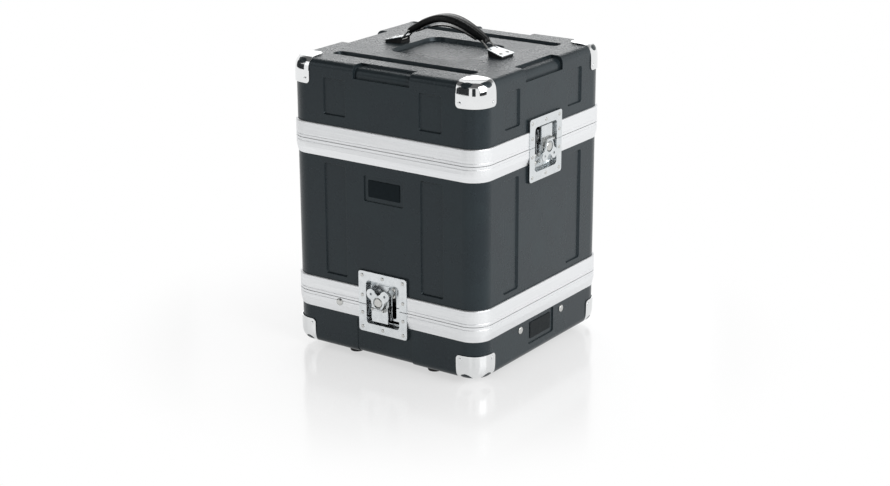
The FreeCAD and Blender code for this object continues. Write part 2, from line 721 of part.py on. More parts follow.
def latch_dish():
    """Whole pressed dish of a latch before it is split at the seam."""
    height = LATCH_BODY_HEIGHT + LATCH_KEEPER_HEIGHT
    y_middle = (LATCH_BODY_HEIGHT - LATCH_KEEPER_HEIGHT) / 2.0
    mouth_w = LATCH_WIDTH - 2 * DISH_MARGIN
    mouth_h = height - 2 * DISH_MARGIN
    flange = slab(LATCH_WIDTH, height, LATCH_ROUND, -FLANGE_THICK, 0.0, 0.0, y_middle)
    outside = drafted(
        mouth_w + 2 * FLANGE_THICK, mouth_h + 2 * FLANGE_THICK, DISH_ROUND + FLANGE_THICK,
        -FLANGE_THICK, -DISH_DEPTH - FLANGE_THICK, DISH_DRAFT, 0.0, y_middle,
    )
    inside = drafted(mouth_w, mouth_h, DISH_ROUND, 0.0, -DISH_DEPTH, DISH_DRAFT, 0.0, y_middle)
    through = (-DISH_DEPTH - 2 * FLANGE_THICK, -DISH_DEPTH + OVERCUT)
    window = slab(
        WINDOW_WIDTH, WINDOW_HEIGHT, WINDOW_WIDTH / 2.0 - SLOT_END_FLAT, *through,
        WINDOW_START + WINDOW_WIDTH / 2.0, 0.0,
    )
    drain_y = -(LATCH_KEEPER_HEIGHT - DISH_MARGIN) + DISH_DRAFT + DRAIN_HEIGHT
    drain = slab(
        DRAIN_WIDTH, DRAIN_HEIGHT, DRAIN_HEIGHT / 2.0 - SLOT_END_FLAT, *through, 0.0, drain_y,
    )
    return flange.fuse(outside).cut(inside).cut(window).cut(drain).removeSplitter()


def latch_half(body_side):
    """Body half or keeper half of the dish, either side of the seam."""
    if body_side:
        keep = block(-FAR, FAR, SEAM_GAP / 2.0, FAR, -FAR, FAR)
    else:
        keep = block(-FAR, FAR, -FAR, -SEAM_GAP / 2.0, -FAR, FAR)
    return latch_dish().common(keep)


def latch_rivets(body_side):
    """Rivet heads on the flange of one half of a latch, and on what is fixed in its dish."""
    side_x = LATCH_WIDTH / 2.0 - DISH_RIVET_INSET
    end_y = LATCH_BODY_HEIGHT - DISH_RIVET_INSET if body_side else -(LATCH_KEEPER_HEIGHT - DISH_RIVET_INSET)
    middle_y = DISH_RIVET_SIDE if body_side else -DISH_RIVET_SIDE
    places = [(-side_x, end_y), (0.0, end_y), (side_x, end_y), (-side_x, middle_y), (side_x, middle_y)]
    heads = [rivet_head(RIVET_RADIUS, RIVET_HEIGHT, x, y, 0.0) for x, y in places]
    if body_side:
        level = -DISH_DEPTH + PLATE_THICK
        heads += [rivet_head(PLATE_RIVET_RADIUS, 2 * RIVET_HEIGHT, x, y, level) for x, y in PLATE_RIVETS]
    else:
        level = -DISH_DEPTH + STRIKE_THICK
        foot_y = STRIKE_EDGE + STRIKE_LEDGE + STRIKE_THICK + STRIKE_FOOT / 2.0
        for side in (-1, 1):
            foot_x = HUB_X + side * STRIKE_WIDTH / 3.0
            heads.append(rivet_head(RIVET_RADIUS, RIVET_HEIGHT, foot_x, foot_y, level))
    return Part.makeCompound(heads)


def latch_plate():
    """Base plate in the body's dish, with hook rails, rivet wing and the stud that the key turns on."""
    floor = -DISH_DEPTH
    top = floor + PLATE_THICK
    half = HOOK_WIDTH / 2.0 + RAIL_GAP + RAIL_THICK
    plate = block(HUB_X - half, HUB_X + half, PLATE_START, PLATE_TOP, floor, top)
    low_rivet = min(y for x, y in PLATE_RIVETS) - PLATE_RIVET_RADIUS - WINDOW_ROOM
    wing = block(HUB_X, PLATE_WING_REACH, low_rivet, PLATE_TOP, floor, top)
    window = block(
        WINDOW_START - WINDOW_ROOM, WINDOW_START + WINDOW_WIDTH + WINDOW_ROOM,
        -FAR, WINDOW_HEIGHT / 2.0, floor - OVERCUT, top + OVERCUT,
    )
    rails = []
    for side in (-1, 1):
        ends = sorted((HUB_X + side * (half - RAIL_THICK), HUB_X + side * half))
        rails.append(block(*ends, PLATE_START, PLATE_TOP, floor, floor + RAIL_HEIGHT))
    stud = cylinder(STUD_RADIUS, vec(HUB_X, HUB_Y, floor), vec(0, 0, 1), DISH_DEPTH + HEAD_TOP)
    return join([plate.fuse(wing.cut(window)), *rails, stud])


def latch_key():
    """Turning key: eccentric cam under a head whose ears hold the wing pin."""
    head_low = HEAD_TOP - HEAD_THICK
    cam_low = -DISH_DEPTH + PLATE_THICK + CAM_LIFT
    pin_y = HUB_Y - WING_PIN_DROP
    pin_z = WING_UNDERSIDE + WING_THICK / 2.0
    cam = cylinder(CAM_RADIUS, vec(HUB_X, HUB_Y - CAM_THROW, cam_low), vec(0, 0, 1), head_low - cam_low)
    disc = cylinder(HEAD_RADIUS, vec(HUB_X, HUB_Y, head_low), vec(0, 0, 1), HEAD_THICK)
    bar = slab(HEAD_BAR_WIDTH, HEAD_BAR_HEIGHT, HEAD_BAR_HEIGHT / 4.0, head_low, HEAD_TOP, HUB_X, pin_y)
    neck = block(HUB_X - BOSS_RADIUS, HUB_X + BOSS_RADIUS, pin_y, HUB_Y, head_low, HEAD_TOP)
    crown_z = BOSS_TOP - BOSS_EDGE
    boss = cylinder(BOSS_RADIUS, vec(HUB_X, HUB_Y, HEAD_TOP), vec(0, 0, 1), crown_z - HEAD_TOP)
    crown = Part.makeCone(BOSS_RADIUS, BOSS_RADIUS - BOSS_EDGE, BOSS_EDGE, vec(HUB_X, HUB_Y, crown_z))
    ears = []
    for side in (-1, 1):
        inner = WING_KNUCKLE_WIDTH / 2.0 + EAR_GAP
        start = HUB_X + (inner if side > 0 else -inner - EAR_THICK)
        post = block(start, start + EAR_THICK, pin_y - EAR_RADIUS, pin_y + EAR_RADIUS, head_low, pin_z)
        ears.append(post.fuse(cylinder(EAR_RADIUS, vec(start, pin_y, pin_z), vec(1, 0, 0), EAR_THICK)))
    key = join([cam, disc, bar, neck, boss, crown, *ears])
    bore_low = cam_low - OVERCUT
    bore = cylinder(
        STUD_RADIUS + RUNNING_FIT, vec(HUB_X, HUB_Y, bore_low), vec(0, 0, 1), HEAD_TOP + CAM_LIFT - bore_low,
    )
    hole = cylinder(WING_PIN_RADIUS + RUNNING_FIT, vec(HUB_X - FAR / 2.0, pin_y, pin_z), vec(1, 0, 0), FAR)
    return key.cut(bore).cut(hole).removeSplitter()


def wing_pin():
    """Pin across the key's ears."""
    half = WING_KNUCKLE_WIDTH / 2.0 + EAR_GAP + EAR_THICK
    at = vec(HUB_X - half, HUB_Y - WING_PIN_DROP, WING_UNDERSIDE + WING_THICK / 2.0)
    return cylinder(WING_PIN_RADIUS, at, vec(1, 0, 0), 2 * half)


def latch_wing():
    """Butterfly wing that folds over the key, with a round window for the key's boss."""
    low, pin_y = WING_UNDERSIDE, HUB_Y - WING_PIN_DROP
    pin_z = low + WING_THICK / 2.0
    up = vec(0, 0, 1)
    half = WING_KNUCKLE_WIDTH / 2.0
    pieces = [cylinder(WING_RING, vec(HUB_X, HUB_Y, low), up, WING_THICK)]
    pieces.append(block(HUB_X - half, HUB_X + half, pin_y, HUB_Y, low, low + WING_THICK))
    knuckle = vec(HUB_X - half, pin_y, pin_z)
    pieces.append(cylinder(WING_KNUCKLE_RADIUS, knuckle, vec(1, 0, 0), WING_KNUCKLE_WIDTH))
    for side in (-1, 1):
        lobe = vec(HUB_X + side * LOBE_X, HUB_Y + LOBE_Y, low)
        pieces.append(cylinder(LOBE_RADIUS, lobe, up, WING_THICK))
        corners = [
            vec(HUB_X + side * WING_RING, HUB_Y, low),
            vec(HUB_X + side * (LOBE_X + LOBE_RADIUS), HUB_Y + LOBE_Y, low),
            vec(HUB_X + side * LOBE_X, HUB_Y + LOBE_Y + LOBE_RADIUS, low),
            vec(HUB_X, HUB_Y + WING_RING, low),
        ]
        pieces.append(Part.Face(Part.makePolygon(corners + corners[:1])).extrude(vec(0, 0, WING_THICK)))
    wing = join(pieces)
    through = WING_THICK + 2 * OVERCUT
    wing = wing.cut(cylinder(WING_WINDOW, vec(HUB_X, HUB_Y, low - OVERCUT), up, through))
    for side in (-1, 1):
        hole = vec(HUB_X + side * LOBE_X, HUB_Y + LOBE_Y, low - OVERCUT)
        wing = wing.cut(cylinder(LOBE_HOLE, hole, up, through))
    bore = cylinder(WING_PIN_RADIUS + RUNNING_FIT, vec(HUB_X - FAR / 2.0, pin_y, pin_z), vec(1, 0, 0), FAR)
    return wing.cut(bore).removeSplitter()


def latch_hook():
    """Draw hook round the cam, released: pushed out of the dish and away from the body."""
    low = HOOK_RELEASED_LEVEL
    lip_top = STRIKE_EDGE - STRIKE_GAP - HOOK_PULL
    end = lip_top - LIP_THICK
    half = HOOK_WIDTH / 2.0
    plate = block(HUB_X - half, HUB_X + half, end, HOOK_TOP, low, low + HOOK_THICK)
    lip = block(HUB_X - half, HUB_X + half, end, lip_top, low - HOOK_LIP, low)
    slot_half = CAM_RADIUS + CAM_THROW + CAM_ROOM
    cam_y = HUB_Y - CAM_THROW
    slot = block(
        HUB_X - slot_half, HUB_X + slot_half, cam_y - CAM_RADIUS - CAM_ROOM, cam_y + CAM_RADIUS + CAM_ROOM,
        low - OVERCUT, low + HOOK_THICK + OVERCUT,
    )
    return plate.fuse(lip).cut(slot).removeSplitter()


def latch_strike():
    """Bent keeper in the lid's or base's dish, with a ledge that the hook's lip draws on."""
    floor = -DISH_DEPTH
    hook_low = HOOK_RELEASED_LEVEL - HOOK_DROP
    top = hook_low - STRIKE_GAP
    left = HUB_X - STRIKE_WIDTH / 2.0
    right = HUB_X + STRIKE_WIDTH / 2.0
    step = STRIKE_EDGE + STRIKE_LEDGE
    ledge = block(left, right, STRIKE_EDGE, step, top - STRIKE_THICK, top)
    riser = block(left, right, step, step + STRIKE_THICK, floor, top)
    foot = block(left, right, step, step + STRIKE_THICK + STRIKE_FOOT, floor, floor + STRIKE_THICK)
    window = block(
        WINDOW_START - WINDOW_ROOM, FAR, -WINDOW_HEIGHT / 2.0 - WINDOW_ROOM, 0.0,
        floor - OVERCUT, floor + STRIKE_THICK + OVERCUT,
    )
    return join([ledge, riser, foot]).cut(window).removeSplitter()


def shelf():
    """Panel between the microphone bay and the receiver bay, held by the backs of the wall panels."""
    gap = WALL + PANEL_DEPTH + SEAT_GAP
    return slab(
        2 * (WALL_X - gap), 2 * (WALL_Y - gap), WALL_RADIUS - gap, SHELF_LEVEL, SHELF_LEVEL + SHELF_THICK,
    )


def foam_half(flange_face):
    """Half size of the body's foam, clear of the latch dishes."""
    return flange_face - DISH_DEPTH - FLANGE_THICK - FOAM_SIDE_GAP


def mic_wells():
    """Places of the microphone wells in plan."""
    return [((index - 1.5) * WELL_SPACING, WELL_ROW) for index in range(4)]


def mic_foam():
    """Foam of the upper bay, with a row of round wells and a long tray."""
    low = SHELF_LEVEL + SHELF_THICK + SEAT_GAP
    top = LID_SEAM - MIC_FOAM_DROP
    foam = slab(2 * foam_half(FLANGE_FACE_X), 2 * foam_half(FLANGE_FACE_Y), FOAM_ROUND, low, top)
    for x, y in mic_wells():
        floor = vec(x, y, top - WELL_DEPTH)
        foam = foam.cut(cylinder(WELL_RADIUS, floor, vec(0, 0, 1), WELL_DEPTH + OVERCUT))
    tray_y = -WELL_ROW / 2.0
    tray = slab(TRAY_LENGTH, TRAY_WIDTH, TRAY_ROUND, top - TRAY_DEPTH, top + OVERCUT, 0.0, tray_y)
    return foam.cut(tray)


def receiver_foam():
    """Foam of the lower bay, open towards the base."""
    low = BASE_SEAM + RECEIVER_FOAM_RISE
    top = SHELF_LEVEL - SEAT_GAP
    foam = slab(2 * foam_half(FLANGE_FACE_X), 2 * foam_half(FLANGE_FACE_Y), FOAM_ROUND, low, top)
    bay = slab(RECEIVER_LENGTH, RECEIVER_WIDTH, TRAY_ROUND, low - OVERCUT, low + RECEIVER_DEPTH)
    return foam.cut(bay)


def shell_pad(low, thick):
    """Flat foam pad clear of a shell's side walls."""
    inset = WALL + PAD_SIDE_GAP
    return slab(2 * (WALL_X - inset), 2 * (WALL_Y - inset), PAD_ROUND, low, low + thick)


def base_foam():
    """Pad on the floor of the base."""
    return shell_pad(FOOT_HEIGHT + WALL + SEAT_GAP, BASE_PAD_THICK)


def lid_foam():
    """Pad under the lid's top, against the back of the handle recess."""
    top = LID_TOP - RECESS_DEPTH - WALL - SEAT_GAP
    return shell_pad(top - LID_PAD_THICK, LID_PAD_THICK)


def bracket_post(set_in):
    """Upright outline of an end plate, tapering towards the grip."""
    inner = BRACKET_END - BRACKET_LENGTH + set_in
    outer = BRACKET_END - set_in
    narrow = BRACKET_INNER_WIDTH / 2.0 - set_in
    wide = BRACKET_WIDTH / 2.0 - set_in
    plan = [vec(inner, -narrow, 0), vec(outer, -wide, 0), vec(outer, wide, 0), vec(inner, narrow, 0)]
    post = Part.Face(Part.makePolygon(plan + plan[:1])).extrude(vec(0, 0, LID_TOP + FAR))
    upright = [e for e in post.Edges if e.Vertexes[0].Z != e.Vertexes[1].Z]
    return post.makeFillet(BRACKET_ROUND, upright)


def bracket_wedge(low_inner, low_outer, sink):
    """Sloped slab over an end plate's length, its top sunk below the plate's face."""
    inner = BRACKET_END - BRACKET_LENGTH
    high = LID_TOP + BRACKET_HEIGHT + HANDLE_LIFT - sink
    low = LID_TOP + BRACKET_LOW - sink
    side = [
        vec(inner, 0, low_inner), vec(BRACKET_END, 0, low_outer),
        vec(BRACKET_END, 0, low), vec(inner, 0, high),
    ]
    wedge = Part.Face(Part.makePolygon(side + side[:1])).extrude(vec(0, BRACKET_WIDTH, 0))
    wedge.translate(vec(0, -BRACKET_WIDTH / 2.0, 0))
    return wedge


def ring_room(y_low, y_high):
    """Room for the ring between two centre lines of its wire, open upwards and towards the grip."""
    room = RING_WIRE + EYE_ROOM
    inner = BRACKET_END - BRACKET_LENGTH - OVERCUT
    floor = LID_TOP + RING_LOW_Z - room
    return block(inner, RING_LOW_X + room, y_low - room, y_high + room, floor, LID_TOP + FAR)


def handle_brackets():
    """Sloped steel end plates, slotted for the legs of the rings."""
    high = LID_TOP + BRACKET_HEIGHT + HANDLE_LIFT - BRACKET_PLATE
    plate = bracket_wedge(high, LID_TOP + BRACKET_LOW - BRACKET_PLATE, 0.0).common(bracket_post(0.0))
    for y in (-RING_WIDTH / 2.0, RING_WIDTH / 2.0):
        plate = plate.cut(ring_room(y, y))
    return Part.makeCompound([plate, plate.mirror(vec(0, 0, 0), vec(1, 0, 0))])


def bracket_pads():
    """Moulded wedges under the end plates, open where the rings lie."""
    pad = bracket_wedge(LID_TOP, LID_TOP, BRACKET_PLATE).common(bracket_post(PAD_SET_IN))
    pad = pad.cut(ring_room(-RING_WIDTH / 2.0, RING_WIDTH / 2.0))
    return Part.makeCompound([pad, pad.mirror(vec(0, 0, 0), vec(1, 0, 0))])


def handle_ring(side):
    """Rectangular wire ring between a bracket and the grip."""
    half = RING_WIDTH / 2.0
    low = vec(RING_LOW_X, 0, LID_TOP + RING_LOW_Z)
    high = vec(RING_HIGH_X, 0, LID_TOP + RING_HIGH_Z)
    length = low.distanceToPoint(high)
    legs = []
    for y in (-half, half):
        legs.append(cylinder(RING_WIRE, vec(low.x, y, low.z), high - low, length))
    for end in (low, high):
        legs.append(cylinder(RING_WIRE, vec(end.x, -half, end.z), vec(0, 1, 0), RING_WIDTH))
        for y in (-half, half):
            legs.append(Part.makeSphere(RING_WIRE, vec(end.x, y, end.z)))
    ring = join(legs)
    if side < 0:
        ring = ring.mirror(vec(0, 0, 0), vec(1, 0, 0))
    return ring


def grip_station(share):
    """Centre and slope of the grip's arch at a share of its half span, from -1 to 1."""
    rise = GRIP_APEX - GRIP_THICK / 2.0 - RING_HIGH_Z
    x = share * RING_HIGH_X
    z = LID_TOP + RING_HIGH_Z + rise * math.cos(share * math.pi / 2.0)
    slope = -rise * math.sin(share * math.pi / 2.0) * math.pi / 2.0 / RING_HIGH_X
    return x, z, math.atan(slope)


def grip_thickness(share):
    """Thickness of the grip at a share of its half span."""
    return GRIP_END_THICK + (GRIP_THICK - GRIP_END_THICK) * (1.0 - share * share)


def across_arch(section, share, below):
    """Stand a flat section across the grip's arch, a distance below the arch's centre line."""
    x, z, angle = grip_station(share)
    section.rotate(vec(0, 0, 0), vec(1, 0, 0), 90.0)
    section.rotate(vec(0, 0, 0), vec(0, 0, 1), 90.0)
    section.translate(vec(0, 0, -below))
    section.rotate(vec(0, 0, 0), vec(0, 1, 0), -math.degrees(angle))
    section.translate(vec(x, 0, z))
    return section


def grip_section(share):
    """Section of the grip: broad and domed in the middle, narrower at the rings."""
    width = GRIP_END_WIDTH + (GRIP_WIDTH - GRIP_END_WIDTH) * (1.0 - share * share)
    thick = grip_thickness(share)
    return across_arch(outline(width, thick, thick * GRIP_ROUND_SHARE), share, 0.0)


def strap_section(share):
    """Section of the strap, which meets the grip towards the rings and hangs clear in the middle."""
    gap = STRAP_GAP * (1.0 - (share / STRAP_SHARE) ** 2)
    below = (grip_thickness(share) + STRAP_THICK) / 2.0 + STRAP_SEAT + gap
    return across_arch(outline(STRAP_WIDTH, STRAP_THICK, STRAP_THICK * STRAP_ROUND_SHARE), share, below)


def handle_strap():
    """Thin strap under the grip."""
    steps = range(GRIP_STATIONS)
    shares = [STRAP_SHARE * (-1.0 + 2.0 * index / (GRIP_STATIONS - 1)) for index in steps]
    return Part.makeLoft([strap_section(share) for share in shares], True, False)


def handle_grip():
    """Arched grip with a round eye for each ring."""
    shares = [-1.0 + 2.0 * index / (GRIP_STATIONS - 1) for index in range(GRIP_STATIONS)]
    grip = Part.makeLoft([grip_section(share) for share in shares], True, False)
    for side in (-1, 1):
        at = vec(side * RING_HIGH_X, -GRIP_END_WIDTH / 2.0, LID_TOP + RING_HIGH_Z)
        grip = grip.fuse(cylinder(GRIP_END_THICK * GRIP_EYE_SHARE, at, vec(0, 1, 0), GRIP_END_WIDTH))
    for side in (-1, 1):
        at = vec(side * RING_HIGH_X, -GRIP_WIDTH, LID_TOP + RING_HIGH_Z)
        grip = grip.cut(cylinder(RING_WIRE + RUNNING_FIT, at, vec(0, 1, 0), 2 * GRIP_WIDTH))
    return grip.removeSplitter()


def bracket_screws():
    """Two screw heads on each end plate, square to its sloped top."""
    rise = BRACKET_HEIGHT + HANDLE_LIFT - BRACKET_LOW
    slope = math.atan(rise / BRACKET_LENGTH)
    x = BRACKET_END - BRACKET_LENGTH / 4.0
    z = LID_TOP + BRACKET_LOW + rise * (BRACKET_END - x) / BRACKET_LENGTH
    heads = []
    for x_side in (-1, 1):
        for y_side in (-1, 1):
            at = vec(x_side * x, y_side * BRACKET_WIDTH / 4.0, z)
            normal = vec(x_side * math.sin(slope), 0, math.cos(slope))
            top_radius = BRACKET_SCREW_RADIUS * HEAD_TOP_SHARE
            heads.append(Part.makeCone(BRACKET_SCREW_RADIUS, top_radius, BRACKET_SCREW_HEIGHT, at, normal))
    return Part.makeCompound(heads)


def latch_nodes(name, place):
    """Named pieces of one latch, carried to its wall."""
    pieces = {
        f"{name}_latch_dish": latch_half(True),
        f"{name}_latch_rivets": latch_rivets(True),
        f"{name}_latch_plate": latch_plate(),
        f"{name}_latch_key": latch_key(),
        f"{name}_wing_pin": wing_pin(),
        f"{name}_latch_wing": latch_wing(),
        f"{name}_latch_hook": latch_hook(),
        f"{name}_keeper_dish": latch_half(False),
        f"{name}_keeper_rivets": latch_rivets(False),
        f"{name}_strike": latch_strike(),
    }
    return {node: place(shape) for node, shape in pieces.items()}


def hinge_nodes(name, lower, upper, place):
    """Named pieces of the two butt hinges at one seam."""
    lower_leaf, upper_leaf = hinge_leaf(-1), hinge_leaf(1)
    return {
        f"{name}_hinge_{lower}_leaves": place(lower_leaf),
        f"{name}_hinge_{upper}_leaves": place(upper_leaf),
        f"{name}_hinge_pins": place(hinge_pin()),
        f"{name}_hinge_{lower}_rivets": place(hinge_rivets(-1)),
        f"{name}_hinge_{upper}_rivets": place(hinge_rivets(1)),
    }


def build():
    """All pieces of the case by name."""
    nodes = {
        "base_shell": base_shell(),
        "base_valance": fitted_valance(lower_valance(BASE_SEAM, False)),
        "base_corner_caps": corner_caps(BASE_RIM, FOOT_HEIGHT),
        "base_corner_rivets": corner_rivets(BASE_RIM, FOOT_HEIGHT),
        "base_rivets": base_rivets(),
        "base_badge_plate": badge_plate("right", BASE_BADGE_CENTRE),
        "base_foam": base_foam(),
        "feet": feet(),
        "foot_screws": foot_screws(),
        "body_shell": body_shell(),
        "body_lower_valance": fitted_valance(upper_valance(BASE_SEAM, True)),
        "body_upper_valance": fitted_valance(lower_valance(LID_SEAM, True)),
        "body_badge_plate": badge_plate("front", BODY_BADGE_CENTRE),
        "shelf": shelf(),
        "mic_foam": mic_foam(),
        "receiver_foam": receiver_foam(),
        "lid_shell": lid_shell(),
        "lid_valance": fitted_valance(upper_valance(LID_SEAM, False)),
        "lid_corner_caps": corner_caps(LID_RIM, LID_TOP),
        "lid_corner_rivets": corner_rivets(LID_RIM, LID_TOP),
        "lid_foam": lid_foam(),
        "handle_brackets": handle_brackets(),
        "bracket_pads": bracket_pads(),
        "bracket_screws": bracket_screws(),
        "handle_rings": Part.makeCompound([handle_ring(-1), handle_ring(1)]),
        "handle_grip": handle_grip(),
        "handle_strap": handle_strap(),
    }
    nodes.update(latch_nodes("front", at_front_latch))
    nodes.update(latch_nodes("side", at_side_latch))
    nodes.update(hinge_nodes("rear", "base", "body", on_back_seam))
    nodes.update(hinge_nodes("side", "body", "lid", on_left_seam))
    return nodes


def main():
    """Write one STEP file for each named piece."""
    os.makedirs("parts", exist_ok=True)
    for node, shape in build().items():
        shape.exportStep(f"parts/{node}.step")
        print(node, len(shape.Solids), "solids", round(shape.Volume / 1000.0, 2), "cm3", shape.isValid())


main()
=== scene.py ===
"""Dress a moulded microphone case for a studio picture.

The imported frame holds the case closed, with both latches released. The classes hold sizes in
millimetres, and meshes are made in metres, in the frame's own coordinates.
"""
import logging
import math
from dataclasses import dataclass
from enum import Enum
from typing import Any, Callable, Iterable

import bmesh
import bpy
from bmesh.types import BMesh, BMVert
from bpy.types import Material, Mesh, Node, NodeSocket, NodeTree, Object
from mathutils import Matrix, Vector

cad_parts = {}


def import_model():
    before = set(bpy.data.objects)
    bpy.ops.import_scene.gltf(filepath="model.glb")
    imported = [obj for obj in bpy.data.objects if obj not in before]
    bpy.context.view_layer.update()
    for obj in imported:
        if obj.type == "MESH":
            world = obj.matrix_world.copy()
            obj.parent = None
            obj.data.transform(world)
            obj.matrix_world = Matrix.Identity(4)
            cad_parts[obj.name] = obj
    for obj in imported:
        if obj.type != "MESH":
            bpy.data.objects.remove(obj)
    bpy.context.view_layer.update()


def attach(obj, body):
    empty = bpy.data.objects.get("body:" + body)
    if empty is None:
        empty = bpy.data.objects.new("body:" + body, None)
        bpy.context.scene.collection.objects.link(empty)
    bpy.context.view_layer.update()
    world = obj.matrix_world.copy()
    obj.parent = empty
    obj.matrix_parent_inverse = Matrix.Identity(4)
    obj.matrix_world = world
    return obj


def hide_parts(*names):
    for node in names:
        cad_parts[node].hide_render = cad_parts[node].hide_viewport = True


LOG = logging.getLogger("microphone_case")
MM = 0.001
LID_FACE = 523.5                # level of the lid's top
BASE_FACE = 10.0                # level of the base's underside
MIDDLE = Vector((0.0, 0.0, 0.27))               # of the case, in metres
MIX_FIRST, MIX_SECOND, MIX_RESULT = 6, 7, 2     # a mix node's sockets for colours, by their places
NOISE_LOW, NOISE_HIGH = 0.3, 0.7                # most of a noise lies between these
WELD_MM = 0.004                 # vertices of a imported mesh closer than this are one
FLAT_DEG = 0.6                  # faces that bend less than this are one
SHARP_DEG = 32.0                # edges that bend more than this are rounded
EDGE_SEGMENTS = 2
SAME_MM = 0.01                  # heads' vertices and radii that differ by less are the same
LEVEL_MM = 0.02                 # vertices of one ring differ by less in height


class Latch(Enum):
    """The two recessed twist latches, by the start of their nodes' names."""

    FRONT = "front"
    SIDE = "side"


class Side(Enum):
    """The two ends of a piece that is mirrored about the middle of the case."""

    LEFT = -1
    RIGHT = 1


class Way(Enum):
    """Which way a shell's outer face looks."""

    UP = 1
    DOWN = -1


def linear(code: str) -> tuple[float, float, float, float]:
    """Turn an sRGB hex colour into linear light.

    Args:
        code: Six hex digits after a hash.

    Returns:
        Linear red, green and blue, and an alpha of one.
    """
    shares = [int(code[start:start + 2], 16) / 255.0 for start in (1, 3, 5)]
    return (*[s / 12.92 if s <= 0.04045 else ((s + 0.055) / 1.055) ** 2.4 for s in shares], 1.0)


def per_metre(size_mm: float) -> float:
    """Texture scale at which one feature of a pattern is as large as a real size in millimetres."""
    return 1.0 / (size_mm * MM)


def set_inputs(tree: NodeTree, node: Node, inputs: dict[str | int, Any]) -> None:
    """Set the inputs of a node.

    Args:
        tree: Node tree that holds the node.
        node: The node.
        inputs: Values of its inputs, or the sockets that feed them. A node gives its first output.
    """
    for key, value in inputs.items():
        if isinstance(value, (Node, NodeSocket)):
            tree.links.new(value.outputs[0] if isinstance(value, Node) else value, node.inputs[key])
        else:
            node.inputs[key].default_value = value


def add_node(
    tree: NodeTree,
    kind: str,
    settings: dict[str, Any] | None = None,
    inputs: dict[str | int, Any] | None = None,
) -> Node:
    """Add a node to a tree with its settings and links.

    Args:
        tree: Node tree that takes the node.
        kind: Type name of the node after its common start.
        settings: Attributes of the node.
        inputs: Values of its inputs, or what feeds them.

    Returns:
        The new node.
    """
    node = tree.nodes.new(f"ShaderNode{kind}")
    for name, value in (settings or {}).items():
        setattr(node, name, value)
    set_inputs(tree, node, inputs or {})
    return node


def blank_material(name: str) -> tuple[Material, NodeTree, Node]:
    """Start a material.

    Args:
        name: What the material is and how its surface was made.

    Returns:
        The material, its node tree and its shader.
    """
    material = bpy.data.materials.new(name)
    material.use_nodes = True
    tree = material.node_tree
    return material, tree, tree.nodes["Principled BSDF"]


def lay_surface(
    tree: NodeTree,
    shader: Node,
    tones: tuple[str, str],
    share: Node,
    relief: dict[str, Any],
    gloss: dict[str, Any] | float,
    rest: dict[str, Any],
) -> None:
    """Colour a shader between two tones and give it relief, gloss and what else it needs.

    Args:
        tree: Node tree of the material.
        shader: Its shader.
        tones: Colours at a share of zero and of one.
        share: Node that gives the share.
        relief: Height, strength and depth of the relief.
        gloss: Roughness, or the pattern that it follows and its two ends.
        rest: The shader's other inputs.
    """
    colour = add_node(tree, "Mix", {"data_type": "RGBA"}, {
        "Factor": share, MIX_FIRST: linear(tones[0]), MIX_SECOND: linear(tones[1]),
    })
    if isinstance(gloss, dict):
        gloss = add_node(tree, "MapRange", {}, {"From Min": NOISE_LOW, "From Max": NOISE_HIGH, **gloss})
    set_inputs(tree, shader, {
        "Base Color": colour.outputs[MIX_RESULT], "Normal": add_node(tree, "Bump", {}, relief),
        "Roughness": gloss, **rest,
    })


